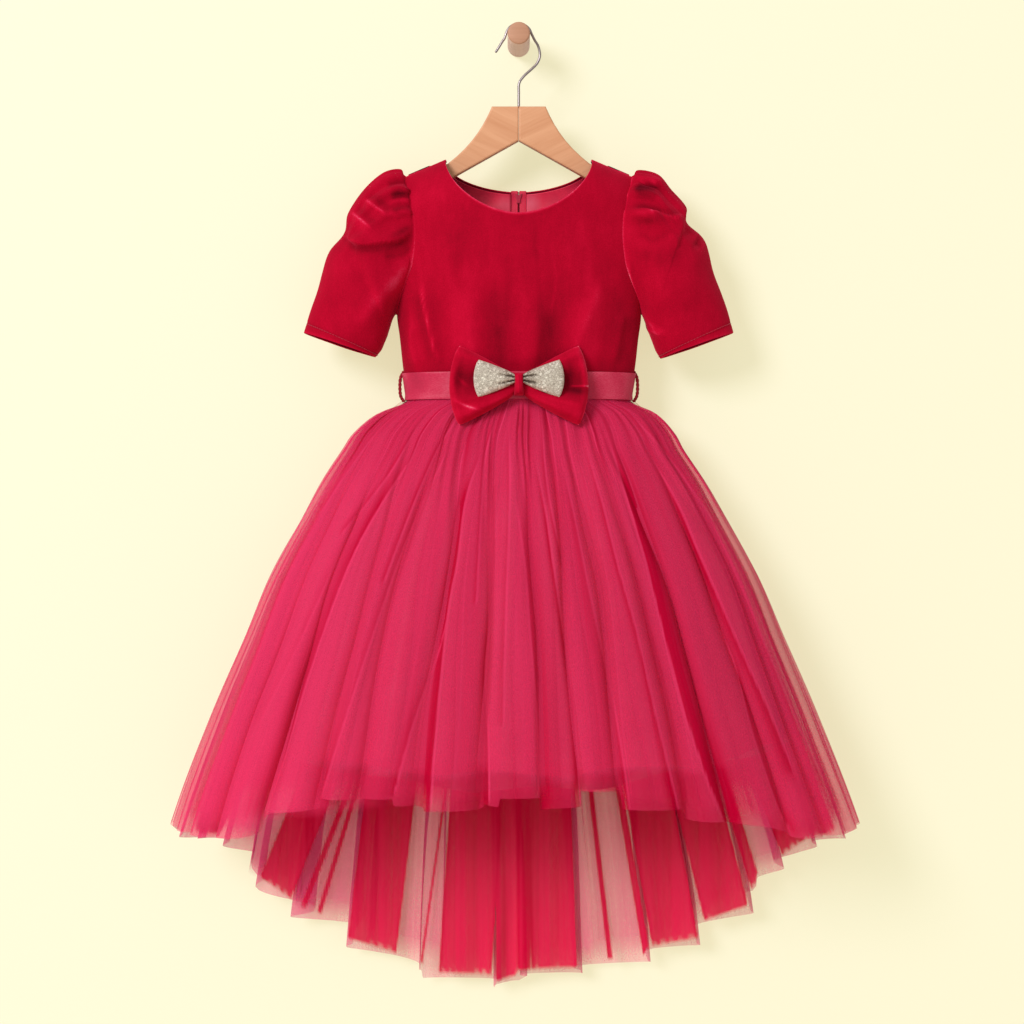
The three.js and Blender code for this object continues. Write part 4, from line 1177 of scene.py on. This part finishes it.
# Kinds of net layer, how far inside each lies, and by how many mm its hem is raised.
OUTER, MIDDLE, INNER = range(3)
DEEP, RAISED = (0.0, 1.0, 1.7), (0, 9, 6)
LAYERS = [
    # name, behind, kind, columns, rows, hollows, seed, height of the folds, overhang
    ("tulle_front_outer", False, OUTER, 840, 80, FRONT_VALLEYS, 1.0, 0.85, 0.5),
    ("tulle_front_middle", False, MIDDLE, 560, 44, MIDDLE_VALLEYS, 4.0, 0.6, 0.7),
    ("tulle_back_outer", True, OUTER, 640, 50, BACK_VALLEYS, 1.0, 0.9, 1.1),
    ("tulle_back_middle", True, MIDDLE, 480, 40, BACK_MIDDLE_VALLEYS, 4.0, 0.5, 0.8),
    ("tulle_back_inner", True, INNER, 580, 80, BACK_VALLEYS, 7.0, 0.35, 0.0),
]


def veil_and_depth(behind, kind, seed, x, z, turn, hem_gap, phase):
    """How much a layer of net covers, and how deep its colour is. The depth holds painted shade in
    hollows, creases and below the satin's hem, and painted highlights along fold edges and on the
    lit side.
    """
    inward = skirt_width(z) * (1 - np.abs(np.sin(even_turn(turn))))
    band = 5 + 8 * ease(z, -400, -800)
    side = ease(inward, 1.15 * band, 0.5 * band)
    if kind == INNER:
        cover, edge = columns_at(x, z)
        lines = wander(x / 2.0, z / 260, 17) + 0.5 * wander(x / 0.9, z / 200, 27)
        ragged = ease(hem_gap, 0, 3 + 4 * np.abs(wander(turn * 80, z * 0, 5)))
        veil = (0.95 + 0.03 * lines + 0.05 * edge) * cover * ragged * (1 - 0.8 * side)
        # Deeper towards the top: more layers, and painted shade under the front net's hem.
        depth = 0.2 + 0.65 * ease(z, -880, -800) - 0.25 * lines + 0.5 * edge + bump(x, 8, 6)
        return veil, depth
    gathered = ease(z, -500, -392)
    wobble = 1.3 * np.sin(9 * turn + seed) + 0.7 * np.sin(z / 130 + 4 * turn)
    # Painted shade in the hollows of three sizes of folds, and painted highlights along their
    # edges.
    shade, edge = fold_tone(phase, z, seed)
    small_shade, small_edge = fold_tone(2.4 * phase + wobble, z, seed + 5)
    least_shade, least_edge = fold_tone(6.1 * phase + 2 * wobble, z, seed + 9)
    dark = 0.7 * shade + 0.35 * small_shade + 0.18 * least_shade
    pale = 0.45 * edge + 0.25 * small_edge + 0.15 * least_edge
    fine_line = wander(turn * 90, z / 200, 19 + seed)
    lit_side = ease(-x, 60, 250) * ease(z, -390, -480)
    # Below the satin's hem the front net is painted deeper, painted shade of the dark inside seen
    # through it; the top of the back net, which the front net hides, is painted deeper as painted
    # shade.
    satin_z = underskirt_hem(turn)
    shade_below_satin = 0 if behind else ease(z, satin_z + 0.8, satin_z - 0.8) * ease(np.abs(x), 230, 170)
    thicker = 0.14 * ease(z, -920, -800) if behind else 0
    upper = 0.35 * ease(z, -860, -770)
    if kind == MIDDLE:
        ragged = ease(hem_gap, 0, 1.5 + 3 * np.abs(wander(turn * 60, z * 0, 3)))
        veil = 0.48 + 0.08 * gathered + 0.15 * pale + 0.06 * fine_line + 0.1 * dark
        veil = ((veil + 0.1 * lit_side) * (1 - 0.5 * side) + thicker) * ragged
        depth = (0.1 + upper if behind else 0.3) + 0.12 * gathered
        return veil, depth + 0.7 * dark - 0.6 * pale - 0.25 * lit_side + 0.4 * shade_below_satin
    # On the front, the creases add painted shade, painted highlights along their edges and painted
    # light on the cloth beside them.
    if not behind:
        crease, fold_highlight, lit = crease_tone(x, z)
        dark = np.maximum(crease, (0.35 + 0.4 * gathered) * dark) - 0.25 * lit
        pale = np.maximum(fold_highlight, (0.6 + 0.6 * gathered) * pale)
    veil = 0.48 + 0.08 * gathered + 0.22 * pale + 0.04 * fine_line + 0.28 * np.maximum(dark, 0)
    veil = veil * (1 - 0.15 * ease(hem_gap, 14, 2)) + 0.06 * lit_side * (1 - side) + thicker
    depth = ((0.05 + upper if behind else 0.2) + 0.12 * gathered) * (1 - side)
    return veil, depth + 0.95 * dark - pale + 0.08 * fine_line - 0.25 * lit_side + 0.3 * shade_below_satin


def add_tulle():
    for name, behind, kind, columns, rows, valleys, seed, high, over in LAYERS:
        turn = panel_turns(behind, columns)
        hem_z = hem_at(turn, behind, outer_hem if kind == OUTER else middle_hem, RAISED[kind])
        grid, turn, z, phase = tulle_panel(
            behind, hem_z, turn, rows, valleys, seed, high, DEEP[kind], over
        )
        x, hem_gap = grid[..., 0], z - hem_z
        veil, depth = veil_and_depth(behind, kind, seed, x, z, turn, hem_gap, phase)
        fields = {"veil": np.clip(veil, 0, 0.97), "depth": np.clip(depth, 0, 1)}
        mesh = sheet_mesh(name, grid, fields)
        finish = tulle_deep if kind == INNER else tulle_back if behind else tulle
        node = "tulle_back" if behind else "tulle_front"
        add_cloth(mesh, [finish], "tulle", node, "gathered", "belt")


def add_underskirt():
    for name, behind in (("front", False), ("back", True)):
        turn = panel_turns(behind, 250)
        z = panel_rows(underskirt_hem(turn), 36)
        turn = np.broadcast_to(turn, z.shape)
        degrees = off_front(turn)
        phase = LINING_FOLDS * turn + 0.9 * np.sin(3 * turn + 2) + 0.7 * np.sin(8 * turn + 4)
        height = (0.78 + 0.22 * np.sin(5 * turn + 6)) * (0.8 + 0.2 * np.cos(turn))
        fold = fold_height(z)
        stand = np.interp(-z, [376.3, 383.5, 396.3, 450, 600, 760], [0, 0.8, 5, 2.5, 1, 0])
        down = np.clip((SKIRT_TOP - z) / (SKIRT_TOP - satin_hem(degrees)), 0, 1)
        inset = 1.9 + 1.5 * fold + stand + satin_inset(degrees) * down
        lift = height * np.cos(phase) * (0.5 * fold - 0.3) - inset
        face, back = skirt_grid(turn, z, lift), skirt_grid(turn, z, lift - UNDERSKIRT)
        # Painted light on the satin's folds: lighter on the crests, painted shade in the hollows.
        tone = 0.3 * np.cos(phase) * ease(z, -400, -500)
        mesh = shell_mesh("satin_underskirt_" + name, face, back, tone, rim=(1.0, 0.2))
        finishes = [underskirt_satin, underskirt_inside_shaded]
        add_cloth(mesh, finishes, "satin", "underskirt_" + name, "gathered", "belt")


# Belt, its loops and the bow


def belt_grid(turn, z, stand):
    wide, deep = form_width(z) + stand, form_depth(z) + stand
    across = np.abs(np.sin(turn)) ** FLATNESS
    y = HANG_Y - np.sign(np.cos(turn)) * deep * np.sqrt(np.maximum(1 - across, 0))
    return xyz(wide * np.sin(turn), y, z)


def add_belt():
    turn = np.linspace(-math.pi, math.pi, 300, endpoint=False)[None, :]
    z = np.linspace(BELT_BOTTOM, BELT_TOP, 14)[:, None]
    turn, z = np.broadcast_arrays(turn, z)
    curl = 0.35 * wander(turn * 7, z / 12, 9)
    curl = curl + 0.25 * bump(z, BELT_TOP, 2.5) + 0.25 * bump(z, BELT_BOTTOM, 2.5)
    outer = belt_grid(turn, z, BELT_STAND - 0.25 + np.clip(curl, -0.2, 0.6))
    inner = belt_grid(turn, z, BELT_STAND - 0.9 + np.clip(curl, -0.1, 0.3))
    tone = 0.25 * wander(turn * 9, z / 9, 31)
    mesh = shell_mesh("ribbon_belt", outer, inner, tone, loop=True)
    rests_on = ("front_velvet", "belt_loop_cord_left", "belt_loop_cord_right")
    add_cloth(mesh, [ribbon, ribbon], "satin", "belt", "hung", *rests_on)


def add_belt_loops():
    outline = [(121, -352), (124, -358), (124.8, -367.8), (124, -377), (121, -382.6)]
    path = smooth_path(outline, 60)
    turn = np.linspace(0, 9 * math.pi, len(path))
    for name, sign in SIDES:
        strands = []
        for start in (0, math.pi):
            x = sign * (path[:, 0] + TWIST * np.cos(turn + start))
            y = HANG_Y + TWIST * np.sin(turn + start)
            strands.append(tube_mesh("strand", xyz(x, y, path[:, 1]), STRAND, 8))
        mesh = joined("belt_loop_cord_" + name, strands)
        add_piece(mesh, [cord_thread], "velvet", "belt_loop_" + name)


def bow_back(z):
    """The plane behind the bow, which leans back below its lower edge."""
    return -89.4 - 0.15 * np.maximum(-352 - z, 0)


def wing_mesh(name, spec, sign, thick, back, painted_light_and_tone_of):
    """A wing of a bow: u runs from the knot to the end, w from the lower edge to the upper."""
    from_x, reach, bulge, knot_half, end_half, centre = spec
    u = np.linspace(0, 1, WING_STEPS)[None, :]
    w = np.sin(np.linspace(-1, 1, WING_STEPS) * math.pi / 2)[:, None]
    u, w = np.broadcast_arrays(1 - (1 - u) ** 1.25, w)
    corner = np.abs(w) ** 10
    x = from_x + (reach * (1 - 0.02 * corner) + bulge * (1 - w * w) - from_x) * u
    half = knot_half + (end_half - knot_half) * u**0.8
    z = centre + w * half * (1 - 0.02 * corner * u**14)
    high, edge = thick(u, w)
    front = xyz(x, back(z) - 0.2 - (1.1 + high) * edge, z)
    rear = xyz(x, back(z) - 1.1 + edge, z)
    walls = mirrored(sign, front, rear, painted_light_and_tone_of(u, w))
    return shell_mesh(name, *walls, rim=(0.0, 0.0))


WING_STEPS, KNOT_STEPS = 70, 40
# Where a wing starts, how far it reaches, its bulge, half heights at knot and end, and its middle.
BIG_WING = (4, 62.5, 9.2, 8, 41.8, BOW_Z + 0.3)
SMALL_WING = (4, 42, 4.5, 4, 19.5, BOW_Z + 7)


def rounded(u, w, power):
    across, out = np.maximum(1 - np.abs(w) ** power, 0), np.maximum(1 - u**power, 0)
    return np.sqrt(across) * np.sqrt(out + TINY)


def velvet_wing(sign):
    """Thickness of a wing of the velvet bow, and its tone: painted highlights along the rims and in
    a few lines, painted shade in its hollow middle, and a little random tone.
    """
    low = -0.46 if sign < 0 else -0.5

    def thick(u, w):
        high = 1.6 + 9.4 * (1 - np.abs(w) ** 6) * (0.66 + 0.34 * np.sin(math.pi * u))
        high = high - 7.4 * bump(w, 0.1, 0.4) * ease(u, 0.12, 0.45) * ease(u, 0.97, 0.8)
        high = high + 1.6 * bump(np.abs(w), 0.84, 0.13) * ease(u, 0.1, 0.4)
        high = high + 1.8 * bump(w - 0.1 * (1 - u), low, 0.09) * ease(u, 0.25, 0.6)
        if sign > 0:
            high = high + 2.4 * bump(w, -0.02, 0.035) * ease(u, 0.68, 0.8)
            high = high - 1.8 * bump(w, -0.13, 0.09) * ease(u, 0.6, 0.8)
        high = high + 0.8 * wander(u * 11, w * 7, 41 + sign) * ease(u, 0.5, 0.8)
        return np.maximum(high, 0.8), rounded(u, w, 22)

    def painted_light_and_tone_of(u, w):
        tone = 0.4 * bump(w, 1.0, 0.03) + 0.35 * bump(w, -1.0, 0.03) + 0.4 * bump(u, 1.0, 0.02)
        tone = tone - 0.7 * bump(w, 0.16, 0.45) * ease(u, 0.2, 0.5) * ease(u, 0.97, 0.86)
        tone = tone + 0.15 * bump(w, 0.84, 0.1) + 0.2 * bump(w, -0.74, 0.15)
        tone = tone + 0.1 * ease(u, 0.86, 0.94) + 0.08 * wander(u * 9, w * 6, 51 + sign)
        if sign < 0:
            tone = tone + 0.75 * bump(w, -0.4 - 1.3 * (0.93 - u), 0.055) * bump(u, 0.76, 0.16)
            return tone + 0.6 * bump(w, 0.2 - 1.4 * (0.87 - u), 0.05) * bump(u, 0.8, 0.08)
        tone = tone + 0.8 * bump(w, -0.02, 0.022) * ease(u, 0.7, 0.8)
        tone = tone - 0.5 * bump(w, -0.16, 0.1) * ease(u, 0.6, 0.75)
        tone = tone + 0.3 * bump(w, 0.45, 0.4) * ease(u, 0.74, 0.8)
        return tone + 0.3 * bump(w, -0.55, 0.06) * bump(u, 0.6, 0.3)

    return thick, painted_light_and_tone_of


def glitter_thick(u, w):
    high = 1.2 + 4.0 * (1 - np.abs(w) ** 4) * (0.6 + 0.4 * np.sin(math.pi * u))
    high = high - 2.3 * bump(w, 0.34, 0.16) * ease(u, 0.55, 0.05)
    high = high - 2.6 * bump(w, -0.46, 0.16) * ease(u, 0.62, 0.08)
    return np.maximum(high, 0.5), rounded(u, w, 30)


# Painted light on a glitter wing: painted shade in its two creases and towards the knot, painted
# highlights along its rims and end.
def glitter_painted_light(u, w):
    tone = -1.1 * bump(w, 0.34, 0.12) * ease(u, 0.55, 0.02)
    tone = tone - 1.1 * bump(w, -0.46, 0.12) * ease(u, 0.6, 0.05) - 0.3 * ease(u, 0.4, 0.1)
    return tone + 0.35 * bump(w, 1, 0.05) + 0.35 * bump(w, -1, 0.05) + 0.4 * bump(u, 1, 0.03)


def add_bow():
    for name, sign in SIDES:
        big, small = "bow_velvet_wing_" + name, "bow_glitter_wing_" + name
        thick, painted_light_and_tone_of = velvet_wing(sign)
        mesh = wing_mesh(big, BIG_WING, sign, thick, bow_back, painted_light_and_tone_of)
        add_cloth(mesh, [velvet] * 2, "velvet", "bow_velvet_" + name, "folded", "ribbon_belt")
        mesh = wing_mesh(
            small, SMALL_WING, sign, glitter_thick, lambda z: bow_back(z) - SMALL_BOW_STAND,
            glitter_painted_light,
        )
        add_cloth(mesh, [glitter] * 2, "glitter", "bow_glitter_" + name, "folded", big)
    u, w = np.meshgrid(*[np.linspace(-1, 1, KNOT_STEPS)] * 2)
    x = KNOT_HALF * u * (1 - 0.12 * (1 - w * w))
    z = BOW_Z + 1.4 + 11.6 * w
    side = np.sqrt(np.maximum(1 - np.abs(u) ** 3, 0))
    ends = np.sqrt(np.maximum(1 - np.abs(w) ** 8, 0))
    grooves = 0.35 * np.cos(u * 9 + w) * (1 - u * u)
    y = bow_back(z) - 0.6 - (20.2 + grooves) * (0.35 + 0.65 * side) * (0.4 + 0.6 * ends)
    # Painted shade towards the knot's bottom and a painted highlight down its rounded middle.
    tone = -0.35 * ease(w, -0.2, -1) + 0.15 * side
    mesh = shell_mesh("bow_velvet_knot", xyz(x, y, z), xyz(x, bow_back(z), z), tone, rim=(0, 0))
    add_piece(mesh, [velvet, velvet], "velvet", "bow_knot")


# Zip


COIL_WIRE, COIL_POINTS = 0.3, 7
STITCH_PITCH, STITCH_RADIUS = 3.2, 0.3
TAPE_FROM, TAPE_TO = 0.9, 8


def back_surface(x, z, top=0.0):
    """Points on the back, straight up from the height top."""
    y = HANG_Y + bodice_depth(x, np.minimum(z, top))
    return xyz(x, y, z)


def add_zip():
    top = NECK_Z - BACK_DROP - 1.5
    inside = VELVET + SEAM
    at = np.linspace(0, 1, COIL_TURNS * COIL_POINTS)
    coils = []
    for sign in (1, -1):
        spin = at * COIL_TURNS * 2 * math.pi + (0 if sign > 0 else math.pi)
        z = ZIP_BOTTOM + (top + 2.5 - ZIP_BOTTOM) * at
        path = back_surface(np.zeros_like(z), z, top)
        path[:, 0] = sign * (0.62 + 0.82 * np.cos(spin) * sign)
        path[:, 1] += -0.75 + 0.62 * np.sin(spin)
        coils.append(tube_mesh("coil", path, COIL_WIRE, 5))
    add_piece(joined("zip_coil_wire", coils), [thread], "satin", "zip_coil")
    for name, sign in SIDES:
        x = np.linspace(TAPE_FROM, TAPE_TO, 12)[None, ::sign] * sign
        z = np.linspace(ZIP_BOTTOM, top + 3.0, 120)[:, None]
        base = back_surface(x, z, top)
        outer = base - [0, inside + 0.3, 0]
        inner = base - [0, inside + 0.3 + 0.8, 0]
        inner[..., 1] -= 0.12 * np.sin(np.abs(x) * 5.2)
        tone = -0.15 - 0.3 * bump(np.abs(x), 6.4, 0.5) + 0.2 * bump(np.abs(x), 1.6, 0.7)
        tone = np.broadcast_to(tone, base.shape[:2])
        mesh = shell_mesh("zip_tape_" + name, outer, inner, tone, rim=(0.5, 0.5))
        add_cloth(mesh, [lining, lining], "satin", "zip_tape", "hung", "back_velvet_" + name)
    stitches = []
    for sign in (1, -1):
        for z in np.arange(ZIP_BOTTOM + 4, top - 2, STITCH_PITCH):
            path = back_surface(np.full(4, sign * ZIP_SEAM_X), z + np.array([0, 0.6, 1.6, 2.2]))
            path[:, 1] += [-0.5, 0.0, 0.0, -0.5]
            stitches.append(tube_mesh("dash", path, STITCH_RADIUS, 6))
    add_piece(joined("zip_seam_stitches", stitches), [thread], "velvet")
    # The slider's plate on the inner side, with its two feet above the joined coil.
    u, w = np.meshgrid(np.linspace(-1, 1, 24), np.linspace(-1, 1, 30))
    x = (2.3 + 1.5 * ease(w, -0.4, 0.8)) * u
    z = top - 4.6 + 5.4 * w - 2.2 * bump(u, 0, 0.4) * ease(w, 0.2, 1)
    edge = np.sqrt(np.maximum(1 - np.abs(u) ** 6, 0) * np.maximum(1 - np.abs(w) ** 8, 0))
    behind = back_surface(np.zeros_like(z), z, top)[..., 1] - inside - 0.4
    front, rear = xyz(x, behind - 0.9 - 1.1 * edge, z), xyz(x, behind - 0.6, z)
    mesh = shell_mesh("zip_slider_inner_plate", front, rear, 0 * u, rim=(0, 0))
    add_piece(mesh, [slider_paint], "wire")
    for node in ("zip_slider", "zip_pull"):
        soft = painted(node, zip_metal).modifiers.new("rounded", "BEVEL")
        soft.width = 0.3 * MM
        soft.segments = 2
        soft.limit_method = "ANGLE"


# Hanger, hook and peg


def add_hanger():
    painted("hanger_arm_left", arm_wood_left)
    painted("hanger_arm_right", arm_wood_right)
    rise = [(0, -73.6), (0, -60), (0.4, -49), (5, -41.8), (12.8, -34.6), (19.2, -28), (22.2, -19.5),
            (20.4, -10), (16.6, -3.4)]
    turns = np.radians(np.linspace(14, 168, 9))
    arch = [(ARCH_RADIUS * math.cos(t), ARCH_RADIUS * math.sin(t)) for t in turns]
    tip = [(-14.9, -1.6), (-17.6, -5.6), (-20.6, -10.6), (-23.8, -15.6)]
    path = smooth_path(rise + arch + tip, 200)
    mesh = tube_mesh("hook_wire", xyz(path[:, 0], HANG_Y, path[:, 1]), HOOK_WIRE / 2, 16)
    add_piece(mesh, [wire_metal], "wire", "hanger_hook")
    # Radius and y of the peg, from its rounded front end to the wall.
    profile = [(0.01, -68), (9.6, -68), (10.9, -67.6), (11.6, -66.6), (11.8, -65), (11.8, -40),
               (11.8, -12), (11.8, -1), (11.5, -0.3), (0.01, -0.3)]
    turn = np.linspace(0, 2 * math.pi, PEG_SIDES, endpoint=False)
    rings = [xyz(radius * np.cos(turn), y, radius * np.sin(turn)) for radius, y in profile]
    mesh = ring_mesh("round_peg", rings, False)
    for face in mesh.polygons:
        face.material_index = int(face.center.y < PEG_END_Y * MM)
    add_piece(mesh, [peg_wood, peg_end], "wood", "wall_peg")


# Floor, wall, light and camera


# In metres, with linear colours.
FLOOR_HALF, FLOOR_Z, WALL_Y, WALL_TOP = 1.9, -1.65, 0.001, 1.2
WALL_BASE, WALL_GLOW, SKY = (0.36, 0.35, 0.35, 1), (0.65, 0.62, 0.385, 1), (1.0, 0.93, 0.82, 1)
SKY_STRENGTH, KEY_SIZE, KEY_POWER = 0.58, 2.0, 185
KEY_FROM, KEY_AIM = (-2.9, -4.1, 1.7), (0, 0, -0.5)
CAMERA_AT, LENS, SENSOR = (-0.0071, -2.4, -0.499), 78.75, 36


def add_stage():
    half, low = FLOOR_HALF, FLOOR_Z
    floor = [(-half, -half, low), (half, -half, low), (half, half, low), (-half, half, low)]
    wall = [(-half, WALL_Y, low), (half, WALL_Y, low), (half, WALL_Y, WALL_TOP),
            (-half, WALL_Y, WALL_TOP)]
    stage = []
    for name, corners in (("floor", floor), ("wall", wall)):
        f = Finish("stage_" + name)
        f.look(Base_Color=tint("#F4EFD6"), Roughness=0.9, Specular_IOR_Level=0.0)
        if name == "wall":
            # Lit from the front, see-through from behind.
            f.look(Base_Color=WALL_BASE)
            glow = f.add("ShaderNodeEmission", Color=WALL_GLOW, Strength=1.0)
            both = f.add("ShaderNodeAddShader")
            f.plug(both.inputs[0], f.shader.outputs[0])
            f.plug(both.inputs[1], glow.outputs[0])
            behind = f.add("ShaderNodeNewGeometry").outputs["Backfacing"]
            mix = f.add("ShaderNodeMixShader", Fac=behind)
            f.plug(mix.inputs[1], both.outputs[0])
            f.plug(mix.inputs[2], f.add("ShaderNodeBsdfTransparent").outputs[0])
            f.plug(f.output.inputs["Surface"], mix.outputs[0])
        mesh = make_mesh(name, np.array(corners) / MM, [[0, 1, 2, 3]], smooth=False)
        mesh.materials.append(f.material)
        stage.append(add_object(name, mesh))
    for ray in ("diffuse", "glossy", "transmission", "shadow", "volume_scatter"):
        setattr(stage[1], "visible_" + ray, False)


def add_lights():
    light = bpy.data.lights.new("key", "AREA")
    light.shape = "DISK"
    light.size = KEY_SIZE
    light.energy = KEY_POWER
    key = add_object("key", light)
    key.location = KEY_FROM
    key.rotation_euler = (Vector(KEY_AIM) - Vector(KEY_FROM)).to_track_quat("-Z", "Y").to_euler()
    world = bpy.data.worlds.new("studio")
    bpy.context.scene.world = world
    world.use_nodes = True
    background = world.node_tree.nodes["Background"]
    background.inputs["Color"].default_value = SKY
    background.inputs["Strength"].default_value = SKY_STRENGTH


def add_camera():
    camera = bpy.data.cameras.new("camera")
    camera.lens, camera.sensor_width = LENS, SENSOR
    obj = add_object("camera", camera)
    obj.location = CAMERA_AT
    obj.rotation_euler = (math.pi / 2, 0, 0)
    bpy.context.scene.camera = obj


scene = bpy.context.scene
scene.view_settings.view_transform = "Standard"
scene.cycles.transparent_max_bounces = 32

add_camera()
add_bodice()
add_lining()
for name, sign, *looks in (
    ("sleeve_left", 1, LEFT_SLEEVE, LEFT_SLEEVE_FOLDS, LEFT_SLEEVE_PAINTED_LIGHT),
    ("sleeve_right", -1, RIGHT_SLEEVE, RIGHT_SLEEVE_FOLDS, RIGHT_SLEEVE_PAINTED_LIGHT),
):
    add_sleeve(name, *looks, sign)
    add_cuff_stitches(name, looks[0], sign)
add_belt_loops()
add_belt()
add_bow()
add_tulle()
add_underskirt()
add_zip()
add_hanger()
add_stage()
add_lights()
